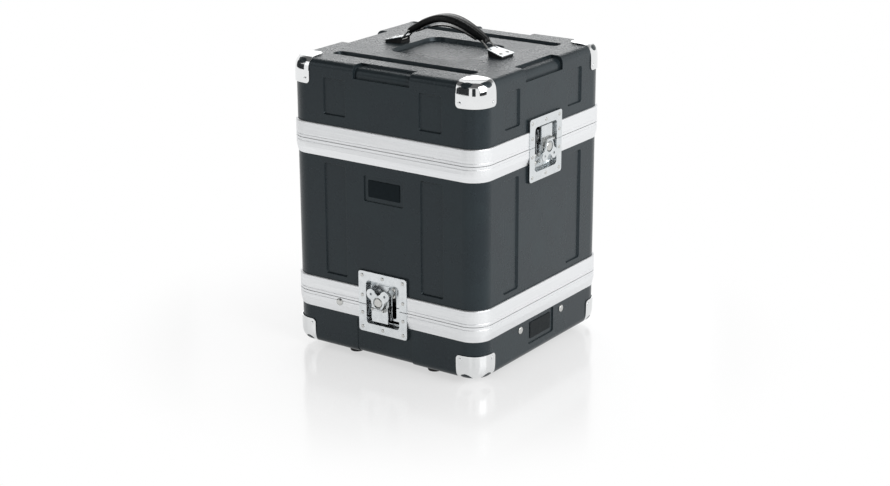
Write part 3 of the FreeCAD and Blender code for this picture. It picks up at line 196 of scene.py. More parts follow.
@dataclass(frozen=True)
class HaircellPolyethylene:
    """Black polyethylene, vacuum formed against a tool with a haircell grain.

    The grain is deep on the level faces, where it breaks up the shine, and nearly drawn out of the
    walls. Handling polishes and dusts it in broad patches.
    """

    colour: str = "#21282c"
    dust: str = "#2a3437"
    shine: str = "#d8e6ee"      # the carbon black in it gives the shine a cold tone
    grain_mm: float = 4.6       # real cells are about 1 mm, too fine to show at this distance
    swirl_cells: float = 3.0    # size of the swirls that bend the cells
    pit_mm: float = 0.9
    pit_share: float = 0.5      # depth of the pits as a share of the cells'
    grain_depth_mm: float = 1.0     # drawn deeper with the coarser cells
    drawn_share: float = 0.10   # of the grain left on the walls, where the sheet is drawn thin
    patch_mm: float = 70.0
    roughness_low: float = 0.23
    roughness_high: float = 0.33
    specular: float = 0.40      # the grain shades itself, so less light comes off

    def material(self) -> Material:
        """Make the material of this finish.

        Returns:
            The material.
        """
        material, tree, shader = blank_material("black_polyethylene_haircell_formed")
        coordinates = add_node(tree, "TexCoord")
        place = coordinates.outputs["Object"]
        facing = add_node(tree, "SeparateXYZ", {}, {0: coordinates.outputs["Normal"]})
        level = add_node(tree, "Math", {"operation": "ABSOLUTE"}, {0: facing.outputs["Z"]})
        kept = add_node(tree, "MapRange", {}, {
            "Value": level, "From Min": 0.8, "From Max": 0.98, "To Min": self.drawn_share,
        })
        warp = add_node(tree, "TexNoise", {}, {
            "Vector": place, "Scale": per_metre(self.swirl_cells * self.grain_mm), "Detail": 2.0,
        })
        shifted = add_node(tree, "VectorMath", {"operation": "MULTIPLY_ADD"}, {
            0: warp.outputs["Color"], 1: (self.grain_mm * MM,) * 3, 2: place,
        })
        cells = add_node(tree, "TexVoronoi", {"feature": "SMOOTH_F1"}, {
            "Vector": shifted, "Scale": per_metre(self.grain_mm), "Smoothness": 0.35,
        })
        pits = add_node(tree, "TexNoise", {}, {
            "Vector": place, "Scale": per_metre(self.pit_mm), "Detail": 3.0, "Roughness": 0.6,
        })
        grain = add_node(tree, "Math", {"operation": "MULTIPLY_ADD"}, {
            0: pits, 1: self.pit_share, 2: cells,
        })
        patches = add_node(tree, "TexNoise", {}, {
            "Vector": place, "Scale": per_metre(self.patch_mm), "Detail": 4.0, "Roughness": 0.62,
        })
        share = add_node(tree, "MapRange", {}, {
            "Value": patches, "From Min": 0.42, "From Max": 0.75, "To Max": 0.7,
        })
        lay_surface(tree, shader, (self.colour, self.dust), share, {
            "Height": grain, "Strength": kept, "Distance": self.grain_depth_mm * MM,
        }, {
            "Value": patches, "To Min": self.roughness_low, "To Max": self.roughness_high,
        }, {"IOR": 1.52, "Specular IOR Level": self.specular, "Specular Tint": linear(self.shine)})
        return material


@dataclass(frozen=True)
class DrawnAluminium:
    """Aluminium extruded through a die, then clear anodised.

    The die leaves fine lines along the whole length, so the face is bright and slightly streaked
    along the seam, with soft and broad reflections.
    """

    colour: str = "#f3f4f5"
    streak: str = "#e4e6e8"
    line_mm: float = 0.9        # real die lines are about 0.2 mm apart, too fine to show
    length_mm: float = 160.0
    depth_mm: float = 0.03
    roughness_low: float = 0.34
    roughness_high: float = 0.52

    def material(self) -> Material:
        """Make the material of this finish.

        Returns:
            The material.
        """
        material, tree, shader = blank_material("aluminium_extruded_clear_anodised")
        place = add_node(tree, "TexCoord").outputs["Object"]
        along = per_metre(self.length_mm)
        stretched = add_node(tree, "Mapping", {}, {
            "Vector": place, "Scale": (along, along, per_metre(self.line_mm)),
        })
        lines = add_node(tree, "TexNoise", {}, {
            "Vector": stretched, "Scale": 1.0, "Detail": 3.0, "Roughness": 0.7,
        })
        lay_surface(tree, shader, (self.colour, self.streak), lines, {
            "Height": lines, "Strength": 0.25, "Distance": self.depth_mm * MM,
        }, {
            "Value": lines, "To Min": self.roughness_low, "To Max": self.roughness_high,
        }, {"Metallic": 1.0})
        return material


@dataclass(frozen=True)
class PlatedSteel:
    """Steel that is pressed or turned, then plated.

    Plating evens out the metal's own grain. What stays is a cloudy change of gloss from the bath
    and shallow waves from the press, which bend the reflections.
    """

    name: str
    colour: str
    cloud: str
    roughness_low: float
    roughness_high: float
    cloud_mm: float
    wave_mm: float
    wave_depth_mm: float

    def material(self) -> Material:
        """Make the material of this finish.

        Returns:
            The material.
        """
        material, tree, shader = blank_material(self.name)
        place = add_node(tree, "TexCoord").outputs["Object"]
        clouds = add_node(tree, "TexNoise", {}, {
            "Vector": place, "Scale": per_metre(self.cloud_mm), "Detail": 5.0, "Roughness": 0.65,
        })
        waves = add_node(tree, "TexNoise", {}, {
            "Vector": place, "Scale": per_metre(self.wave_mm), "Detail": 1.0,
        })
        lay_surface(tree, shader, (self.colour, self.cloud), clouds, {
            "Height": waves, "Strength": 0.5, "Distance": self.wave_depth_mm * MM,
        }, {
            "Value": clouds, "From Min": 0.35, "From Max": 0.65,
            "To Min": self.roughness_low, "To Max": self.roughness_high,
        }, {"Metallic": 1.0})
        return material


@dataclass(frozen=True)
class GrainedSheet:
    """Dull sheet or moulding with an embossed or cast grain.

    Leathercloth, rubber and thread differ here by colour, gloss and the size of their grain.
    """

    name: str
    colour: str
    # painted shade: darker colour for the grain's hollows, where the relief is low
    hollow_shade: str
    roughness: float
    grain_mm: float
    depth_mm: float
    sheen: float = 0.0
    specular: float = 0.5
    speckle_cells: float = 4.0  # size of the speckle over the grain
    uneven: float = 0.06        # change of roughness to either side

    def material(self) -> Material:
        """Make the material of this finish.

        Returns:
            The material.
        """
        material, tree, shader = blank_material(self.name)
        place = add_node(tree, "TexCoord").outputs["Object"]
        cells = add_node(tree, "TexVoronoi", {"feature": "F1"}, {
            "Vector": place, "Scale": per_metre(self.grain_mm), "Randomness": 0.9,
        })
        speckle = add_node(tree, "TexNoise", {}, {
            "Vector": place, "Scale": per_metre(self.speckle_cells * self.grain_mm), "Detail": 4.0,
        })
        height = add_node(tree, "Math", {"operation": "SUBTRACT"}, {0: speckle, 1: cells})
        # the grain's hollows, where the relief is low, take the darker colour as painted shade
        lay_surface(tree, shader, (self.colour, self.hollow_shade), cells, {
            "Height": height, "Strength": 0.6, "Distance": self.depth_mm * MM,
        }, {
            "Value": speckle,
            "To Min": self.roughness - self.uneven, "To Max": self.roughness + self.uneven,
        }, {"Sheen Weight": self.sheen, "Specular IOR Level": self.specular})
        return material


@dataclass(frozen=True)
class CutFoam:
    """Charcoal polyurethane foam, cut with a hot wire.

    Open cells make it matt and dark, with pinholes whose shade is painted into the colour, and its edges
    catch a little light.
    """

    colour: str = "#34373a"
    # painted shade in the pores' pits, and the tone of the random darker clouds
    pore_shade_and_cloud: str = "#15171a"
    pore_mm: float = 2.2        # real cells are about 0.6 mm, too fine to show
    cloud_pores: float = 30.0   # size of the darker clouds
    roughness: float = 0.92
    depth_mm: float = 0.7

    def material(self) -> Material:
        """Make the material of this finish.

        Returns:
            The material.
        """
        material, tree, shader = blank_material("polyurethane_foam_wire_cut")
        place = add_node(tree, "TexCoord").outputs["Object"]
        pores = add_node(tree, "TexVoronoi", {"feature": "F1"}, {
            "Vector": place, "Scale": per_metre(self.pore_mm), "Randomness": 1.0,
        })
        clouds = add_node(tree, "TexNoise", {}, {
            "Vector": place, "Scale": per_metre(self.cloud_pores * self.pore_mm), "Detail": 4.0,
        })
        # dark in the pits of the pores, as painted shade, and in random clouds
        share = add_node(tree, "Math", {"operation": "MULTIPLY"}, {0: pores, 1: clouds})
        lay_surface(tree, shader, (self.pore_shade_and_cloud, self.colour), share, {
            "Height": pores, "Strength": 0.7, "Distance": self.depth_mm * MM,
        }, self.roughness, {"Sheen Weight": 0.15})
        return material


@dataclass(frozen=True)
class FilmedPlywood:
    """Birch plywood faced with a black phenolic film.

    The film is dark, with a faint pressed mesh, and the sawn edges show the pale plies.
    """

    film: str = "#1f1b19"
    pale_ply: str = "#b58e5c"
    dark_ply: str = "#7d5a34"
    ply_mm: float = 1.5
    mesh_mm: float = 2.0
    mesh_depth_mm: float = 0.05
    grain_mm: float = 12.0
    film_level: float = 0.7     # faces whose normal rises more than this carry the film

    def material(self) -> Material:
        """Make the material of this finish.

        Returns:
            The material.
        """
        material, tree, shader = blank_material("birch_plywood_phenolic_filmed")
        coordinates = add_node(tree, "TexCoord")
        place = coordinates.outputs["Object"]
        height = add_node(tree, "SeparateXYZ", {}, {0: place}).outputs["Z"]
        facing = add_node(tree, "SeparateXYZ", {}, {0: coordinates.outputs["Normal"]})
        flat = add_node(tree, "Math", {"operation": "ABSOLUTE"}, {0: facing.outputs["Z"]})
        filmed = add_node(tree, "Math", {"operation": "GREATER_THAN"}, {0: flat, 1: self.film_level})
        plies = add_node(tree, "Math", {"operation": "PINGPONG"}, {0: height, 1: self.ply_mm * MM})
        odd = add_node(tree, "Math", {"operation": "GREATER_THAN"}, {
            0: plies, 1: self.ply_mm * MM / 2.0,
        })
        grain = add_node(tree, "TexNoise", {}, {
            "Vector": place, "Scale": per_metre(self.grain_mm), "Detail": 6.0,
        })
        layer = add_node(tree, "Math", {"operation": "MULTIPLY"}, {0: odd, 1: grain})
        edge = add_node(tree, "Mix", {"data_type": "RGBA"}, {
            "Factor": layer, MIX_FIRST: linear(self.pale_ply), MIX_SECOND: linear(self.dark_ply),
        })
        colour = add_node(tree, "Mix", {"data_type": "RGBA"}, {
            "Factor": filmed, MIX_FIRST: edge.outputs[MIX_RESULT], MIX_SECOND: linear(self.film),
        })
        mesh = add_node(tree, "TexChecker", {}, {"Vector": place, "Scale": per_metre(self.mesh_mm)})
        bump = add_node(tree, "Bump", {}, {
            "Height": mesh.outputs["Fac"], "Strength": 0.2, "Distance": self.mesh_depth_mm * MM,
        })
        set_inputs(tree, shader, {
            "Base Color": colour.outputs[MIX_RESULT], "Normal": bump, "Roughness": 0.5,
        })
        return material


@dataclass(frozen=True)
class Palette:
    """The finishes of the case, each made once."""

    polyethylene: Material
    aluminium: Material
    chrome: Material
    zinc: Material
    nickel: Material
    badge: Material
    rubber: Material
    leathercloth: Material
    thread: Material
    foam: Material
    plywood: Material


def mix_palette() -> Palette:
    """Make every finish of the case.

    Returns:
        The finishes.
    """
    return Palette(
        polyethylene=HaircellPolyethylene().material(),
        aluminium=DrawnAluminium().material(),
        # Bright and hard: sharp reflections that the pressed form bends
        chrome=PlatedSteel(
            "steel_pressed_chrome_plated", "#eceded", "#dfe1e2", roughness_low=0.04, roughness_high=0.09,
            cloud_mm=22, wave_mm=34, wave_depth_mm=0.12,
        ).material(),
        # Pale and slightly blue: a satin gloss with a cloudy bath finish
        zinc=PlatedSteel(
            "steel_pressed_zinc_plated", "#e4e7e8", "#cdd2d5", roughness_low=0.18, roughness_high=0.32,
            cloud_mm=9, wave_mm=26, wave_depth_mm=0.10,
        ).material(),
        # Warm grey: small heads with a crisp highlight
        nickel=PlatedSteel(
            "steel_cold_headed_nickel_plated", "#d2d2cf", "#b9bab8", roughness_low=0.14,
            roughness_high=0.24, cloud_mm=3, wave_mm=8, wave_depth_mm=0.04,
        ).material(),
        # Dark and even: a satin plate that lies quietly in its recess
        badge=PlatedSteel(
            "aluminium_plate_black_anodised", "#1f2528", "#1a2023", roughness_low=0.36,
            roughness_high=0.48, cloud_mm=5, wave_mm=40, wave_depth_mm=0.03,
        ).material(),
        # each grained sheet's second colour below is painted shade for its grain's hollows
        # Matt black with a cast skin
        rubber=GrainedSheet(
            "rubber_moulded", "#17181a", "#101112", roughness=0.74, grain_mm=1.4, depth_mm=0.12,
        ).material(),
        # Embossed pebble grain under a soft shine, drawn coarser than the real 0.6 mm
        leathercloth=GrainedSheet(
            "vinyl_leathercloth_embossed", "#07090a", "#040506",
            roughness=0.30, grain_mm=1.8, depth_mm=0.10, specular=0.3,
        ).material(),
        # Twisted thread, a little paler than the cloth
        thread=GrainedSheet(
            "polyester_thread_twisted", "#1c1e20", "#121315",
            roughness=0.62, grain_mm=0.5, depth_mm=0.1, sheen=0.2,
        ).material(),
        foam=CutFoam().material(),
        plywood=FilmedPlywood().material(),
    )


def round_edges(obj: Object, width_mm: float, sharp_deg: float, clamped: bool = True) -> None:
    """Round the sharp edges of an object.

    Args:
        obj: The object.
        width_mm: Width of the rounding.
        sharp_deg: Bend above which an edge is sharp.
        clamped: Whether the narrowest place holds the rounding back everywhere.
    """
    bevel = obj.modifiers.new("edge", "BEVEL")
    bevel.width = width_mm * MM
    bevel.segments = EDGE_SEGMENTS
    bevel.limit_method = "ANGLE"
    bevel.angle_limit = math.radians(sharp_deg)
    bevel.use_clamp_overlap = clamped


def dress(node: str, material: Material, edge_mm: float = 0.0, clamped: bool = True) -> None:
    """Give a carried-over node its material and, where asked, softly rounded edges.

    Args:
        node: Name of the node.
        material: Material for the whole node.
        edge_mm: Width of the rounding of its sharp edges, or zero to leave them.
        clamped: Whether the narrowest place holds the rounding back everywhere.
    """
    obj = bpy.data.objects[node]
    obj.data.materials.clear()
    obj.data.materials.append(material)
    if edge_mm > 0.0:
        weld = obj.modifiers.new("weld", "WELD")
        weld.merge_threshold = WELD_MM * MM
        flat = obj.modifiers.new("flat_faces", "DECIMATE")
        flat.decimate_type = "DISSOLVE"
        flat.angle_limit = math.radians(FLAT_DEG)
        round_edges(obj, edge_mm, SHARP_DEG, clamped)
        normals = obj.modifiers.new("normals", "WEIGHTED_NORMAL")
        normals.keep_sharp = True
    LOG.info("dressed %s with %s", node, material.name)


def object_from(name: str, made: BMesh, material: Material) -> Object:
    """Turn finished mesh data into a smooth-shaded object in the scene.

    Args:
        name: Name of the object.
        made: Mesh data, which is freed.
        material: Material for the whole object.

    Returns:
        The object.
    """
    mesh = bpy.data.meshes.new(name)
    bmesh.ops.recalc_face_normals(made, faces=made.faces)
    made.to_mesh(mesh)
    made.free()
    mesh.polygons.foreach_set("use_smooth", [True] * len(mesh.polygons))
    mesh.materials.append(material)
    obj = bpy.data.objects.new(name, mesh)
    bpy.context.scene.collection.objects.link(obj)
    return obj


def bridge(made: BMesh, first: list[BMVert], second: list[BMVert], closed: bool = True) -> None:
    """Skin the room between two rows of as many vertices.

    Args:
        made: Mesh data that takes the faces.
        first: One row.
        second: The row after it.
        closed: Whether the rows run round to their starts.
    """
    for step in range(0 if closed else 1, len(first)):
        made.faces.new((first[step - 1], first[step], second[step], second[step - 1]))


@dataclass(frozen=True)
class Head:
    """Where a fastener's head stands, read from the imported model."""

    seat: Vector
    outward: Vector
    radius: float
    height: float


def heads_of(node: str) -> list[Head]:
    """Find every fastener head in a node.

    Args:
        node: Name of a node made of separate round heads. The wider end of a head is its seat, and
            where both are as wide, the end nearer the middle of the case.

    Returns:
        The heads, in metres, in the same order each time.
    """
    made = bmesh.new()
    made.from_mesh(bpy.data.objects[node].data)
    bmesh.ops.remove_doubles(made, verts=made.verts, dist=SAME_MM * MM)
    left = dict.fromkeys(made.verts)
    heads = []
    while left:
        island, edge = [], [left.popitem()[0]]
        while edge:
            vert = edge.pop()
            island.append(vert)
            for other in (link.other_vert(vert) for link in vert.link_edges):
                if other in left:
                    del left[other]
                    edge.append(other)
        points = [v.co for v in island]
        faces = dict.fromkeys(f for v in island for f in v.link_faces)
        axis = max(faces, key=lambda face: face.calc_area()).normal.copy()
        levels = sorted(p.dot(axis) for p in points)
        ends = []
        for end in (levels[0], levels[-1]):
            ring = [p for p in points if abs(p.dot(axis) - end) < LEVEL_MM * MM]
            middle = sum(ring, Vector()) / len(ring)
            ends.append((middle, max((p - middle).length for p in ring)))
        if abs(ends[0][1] - ends[1][1]) < SAME_MM * MM:
            ends.sort(key=lambda end: (end[0] - MIDDLE).length)
        else:
            ends.sort(key=lambda end: end[1], reverse=True)
        (seat, radius), (top, _) = ends
        heads.append(Head(seat, (top - seat).normalized(), radius, (top - seat).length))
    made.free()
    return heads


@dataclass
class DomedHeads:
    """Rivet or screw heads that stand for a node of plain heads."""

    node: str
    body: str
    material: Material
    slot: str = "zinc_steel"
    crossed: bool = False       # with a cross recess for a screwdriver
    lift_mm: float = 0.0        # seat above the solid's own, where a domed piece carries the head
    skirt_share: float = 0.28   # upright edge as a share of the head's height
    rings: int = 9
    segments: int = 32
    recess_share: float = 0.5   # half length of the cross as a share of the radius
    blade_share: float = 0.16   # half width of the cross as a share of the radius
    depth_share: float = 0.5    # depth of the cross as a share of the head's height

    def height_at(self, share: float, angle: float, head: Head) -> float:
        """Height of a head above its seat.

        Args:
            share: Distance from its middle as a share of its radius.
            angle: Direction from its middle.
            head: The head.

        Returns:
            The height in metres.
        """
        skirt = self.skirt_share * head.height
        dome = skirt + (head.height - skirt) * math.sqrt(max(0.0, 1.0 - share * share))
        across = share * abs(math.cos(angle)), share * abs(math.sin(angle))
        if self.crossed and max(across) < self.recess_share and min(across) < self.blade_share:
            return dome - self.depth_share * head.height
        return dome

    def build(self) -> None:
        """Make the heads where the node has them."""
        made = bmesh.new()
        for head in heads_of(self.node):
            turn = head.outward.to_track_quat("Z", "Y").to_matrix().to_4x4()
            place = Matrix.Translation(head.seat + head.outward * self.lift_mm * MM) @ turn
            middle = made.verts.new(place @ Vector((0, 0, self.height_at(0.0, 0.0, head))))
            before = None
            for ring in range(1, self.rings + 2):
                share = min(1.0, math.sin(math.pi / 2.0 * ring / self.rings))
                loop = []
                for step in range(self.segments):
                    angle = 2.0 * math.pi * step / self.segments
                    level = self.height_at(share, angle, head) if ring <= self.rings else 0.0
                    reach = share * head.radius
                    spot = Vector((reach * math.cos(angle), reach * math.sin(angle), level))
                    loop.append(made.verts.new(place @ spot))
                if before:
                    bridge(made, before, loop)
                else:
                    for step in range(self.segments):
                        made.faces.new((middle, loop[step - 1], loop[step]))
                before = loop
            made.faces.new(reversed(before))
        obj = object_from(f"{self.node}_heads", made, self.material)
        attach(obj, self.body)
        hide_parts(self.node)
        LOG.info("built %s", obj.name)


@dataclass
class CaseShells:
    """Moulded base, body and lid, with their valances, badge plates and feet."""

    palette: Palette
    shell_edge_mm: float = 0.5
    valance_edge_mm: float = 0.35
    plate_edge_mm: float = 0.4
    foot_edge_mm: float = 0.8

    def build(self) -> None:
        """Make the rivets and screws of the shells."""
        nickel = self.palette.nickel
        DomedHeads("base_rivets", "base", nickel).build()
        DomedHeads("foot_screws", "base", nickel, crossed=True).build()

    def dress(self) -> None:
        """Give the shells and what is fixed to them their finishes."""
        for part in ("base", "body", "lid"):
            dress(f"{part}_shell", self.palette.polyethylene, self.shell_edge_mm, clamped=False)
        for node in ("base_valance", "body_lower_valance", "body_upper_valance", "lid_valance"):
            dress(node, self.palette.aluminium, self.valance_edge_mm)
        for part in ("base", "body"):
            dress(f"{part}_badge_plate", self.palette.badge, self.plate_edge_mm)
        dress("feet", self.palette.rubber, self.foot_edge_mm)


def rounded(share: float, power: float) -> tuple[float, float]:
    """Point on the quarter of a rounded square, evenly spaced on both of its sides.

    Args:
        share: Place along the quarter, from 0 to 1.
        power: How square it is: two is a circle.

    Returns:
        Both coordinates, from (1, 0) to (0, 1).
    """
    knee = 0.5 ** (1.0 / power)
    if share <= 0.5:
        rise = 2.0 * share * knee
        return (1.0 - rise ** power) ** (1.0 / power), rise
    run = 2.0 * (1.0 - share) * knee
    return run, (1.0 - run ** power) ** (1.0 / power)


@dataclass
class BallCorners:
    """Four pressed ball corners of the lid or base, domed over the shell's own corners."""

    body: str
    way: Way
    face: float                 # level of the shell's outer face
    palette: Palette
    wall: float = 196.6
    reach: float = 46.0
    height: float = 43.0
    side_stand: float = 2.0     # of the dome off the shell's walls
    face_stand: float = 2.6
    plan_power: float = 2.9
    rise_power: float = 5.3
    flap_round: float = 15.0
    foot_round: float = 7.0
    thick: float = 1.2
    solid_thick: float = 1.4    # of the plain caps that the rivets of the frame stand on
    rim: float = 0.4
    rim_deg: float = 50.0
    steps: int = 40
    cuts: int = 7

    def pressing(self) -> Mesh:
        """Make one corner's skin.

        Returns:
            The skin in millimetres from the corner's inner end.
        """
        made = bmesh.new()
        across, tall = self.reach + self.side_stand, self.height + self.face_stand
        plan = [rounded(step / self.steps, self.plan_power) for step in range(self.steps + 1)]
        rows = []
        for row in range(self.steps):
            out, rise = rounded(row / self.steps, self.rise_power)
            rows.append([
                made.verts.new((across * out * x, across * out * y, tall * rise)) for x, y in plan
            ])
        for first, second in zip(rows, rows[1:]):
            bridge(made, first, second, closed=False)
        for index in range(self.cuts):
            turn = math.pi / 2.0 * (index + 0.5) / self.cuts
            away = Vector((math.cos(turn), math.sin(turn)))
            start = Vector((1.0, 1.0)) - away
            flap, foot = start * self.flap_round, start * self.foot_round
            for point, outward in (
                ((flap.x, flap.y, 0.0), (-away.x, -away.y, 0.0)),
                ((foot.x, 0.0, foot.y), (-away.x, 0.0, -away.y)),
                ((0.0, foot.x, foot.y), (0.0, -away.x, -away.y)),
            ):
                everything = made.verts[:] + made.edges[:] + made.faces[:]
                bmesh.ops.bisect_plane(
                    made, geom=everything, plane_co=point, plane_no=outward, clear_outer=True,
                )
        mesh = bpy.data.meshes.new(f"{self.body}_corner_pressing")
        made.to_mesh(mesh)
        made.free()
        return mesh

    def build(self) -> None:
        """Make the four corners and their rivets."""
        pressing = self.pressing()
        made = bmesh.new()
        inner = self.wall - self.reach
        for x_side in Side:
            for y_side in Side:
                before = len(made.verts)
                made.from_mesh(pressing)
                made.verts.ensure_lookup_table()
                sign = Matrix.Diagonal((x_side.value, y_side.value, self.way.value, 1.0))
                level = self.face - self.way.value * self.height
                corner = Matrix.Translation((x_side.value * inner, y_side.value * inner, level))
                place = Matrix.Scale(MM, 4) @ corner @ sign
                bmesh.ops.transform(made, matrix=place, verts=made.verts[before:])
        bpy.data.meshes.remove(pressing)
        obj = object_from(f"{self.body}_ball_corners", made, self.palette.chrome)
        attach(obj, self.body)
        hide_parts(f"{self.body}_corner_caps")
        LOG.info("built %s", obj.name)
        lift = self.side_stand - self.solid_thick
        rivets = f"{self.body}_corner_rivets"
        DomedHeads(rivets, self.body, self.palette.chrome, "chrome", lift_mm=lift).build()

    def dress(self) -> None:
        """Give the pressed skins their thickness and a rounded rim."""
        obj = bpy.data.objects[f"{self.body}_ball_corners"]
        sheet = obj.modifiers.new("sheet", "SOLIDIFY")
        sheet.thickness = self.thick * MM
        sheet.offset = -1.0
        round_edges(obj, self.rim, self.rim_deg)


@dataclass
class TwistLatch:
    """One recessed twist latch: dish, mechanism and keeper."""

    latch: Latch
    keeper_body: str
    palette: Palette
    flange_edge_mm: float = 0.5
    small_edge_mm: float = 0.35

    def build(self) -> None:
        """Make the rivets of the dish and keeper."""
        name = self.latch.value
        DomedHeads(f"{name}_latch_rivets", "body", self.palette.nickel).build()
        DomedHeads(f"{name}_keeper_rivets", self.keeper_body, self.palette.nickel).build()

    def dress(self) -> None:
        """Give the pressed and turned pieces of the latch their finishes."""
        name = self.latch.value
        for piece in ("latch_dish", "keeper_dish"):
            dress(f"{name}_{piece}", self.palette.zinc, self.flange_edge_mm)
        for piece in ("latch_plate", "latch_hook", "strike", "latch_wing"):
            dress(f"{name}_{piece}", self.palette.zinc, self.small_edge_mm)
        for piece in ("latch_key", "wing_pin"):
            dress(f"{name}_{piece}", self.palette.nickel, self.small_edge_mm)


@dataclass
class ButtHinges:
    """The two butt hinges at one seam."""

    name: str
    lower: str
    upper: str
    palette: Palette
    leaf_edge_mm: float = 0.3

    def build(self) -> None:
        """Make the rivets of the leaves."""
        for body in (self.lower, self.upper):
            DomedHeads(f"{self.name}_hinge_{body}_rivets", body, self.palette.nickel).build()

    def dress(self) -> None:
        """Give leaves and pins their finishes."""
        for body in (self.lower, self.upper):
            dress(f"{self.name}_hinge_{body}_leaves", self.palette.zinc, self.leaf_edge_mm)
        dress(f"{self.name}_hinge_pins", self.palette.nickel)


@dataclass
class FoamLining:
    """Cut foam in the base, body and lid, and the shelf between its two bays."""

    palette: Palette
    voxel_mm: float = 4.0
    smoothing: int = 6
    smooth_share: float = 0.5   # of the way to its neighbours that a point moves each time
    wave_mm: float = 40.0       # size of the waves of a cut by hand
    crown_mm: float = 0.8
    inset_mm: float = 0.4
    fill: float = 0.9
    shelf_edge_mm: float = 0.4

    def soft_block(self, node: str, body: str) -> None:
        """Make a foam piece with slightly uneven faces and softened edges where a node is.

        Args:
            node: Node that the foam stands for.
            body: Body that it rides on.
        """
        mesh = bpy.data.objects[node].data.copy()
        mesh.name = f"{node}_cut"
        obj = bpy.data.objects.new(f"{node}_cut", mesh)
        bpy.context.scene.collection.objects.link(obj)
        remesh = obj.modifiers.new("voxels", "REMESH")
        remesh.mode = "VOXEL"
        remesh.voxel_size = self.voxel_mm * MM
        remesh.use_smooth_shade = True
        relax = obj.modifiers.new("relax", "SMOOTH")
        relax.factor = self.smooth_share
        relax.iterations = self.smoothing
        cells = bpy.data.textures.new(f"{node}_hand_cut", "CLOUDS")
        cells.noise_scale = self.wave_mm * MM
        wander = obj.modifiers.new("hand_cut", "DISPLACE")
        wander.texture = cells
        wander.texture_coords = "LOCAL"
        wander.strength = self.crown_mm * MM
        wander.mid_level = 1.0 - self.inset_mm / self.crown_mm / 2.0
        graph = bpy.context.evaluated_depsgraph_get()
        shaped = bpy.data.meshes.new_from_object(obj.evaluated_get(graph))
        obj.modifiers.clear()
        obj.data = shaped
        shaped.materials.clear()
        shaped.materials.append(self.palette.foam)
        shaped.polygons.foreach_set("use_smooth", [True] * len(shaped.polygons))
        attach(obj, body)
        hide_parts(node)
        LOG.info("built %s", obj.name)

    def build(self) -> None:
        """Make the four foam pieces."""
        for piece, body in (("base", "base"), ("mic", "body"), ("receiver", "body"), ("lid", "lid")):
            self.soft_block(f"{piece}_foam", body)

    def dress(self) -> None:
        """Give the shelf its finish."""
        dress("shelf", self.palette.plywood, self.shelf_edge_mm)


def signed_power(value: float, power: float) -> float:
    """Raise the size of a value to a power and keep its sign."""
    return math.copysign(abs(value) ** power, value)


def bell(distance: float, width: float) -> float:
    """Height of a bell curve, one in its middle, at a distance from there."""
    return math.exp(-((distance / width) ** 2))


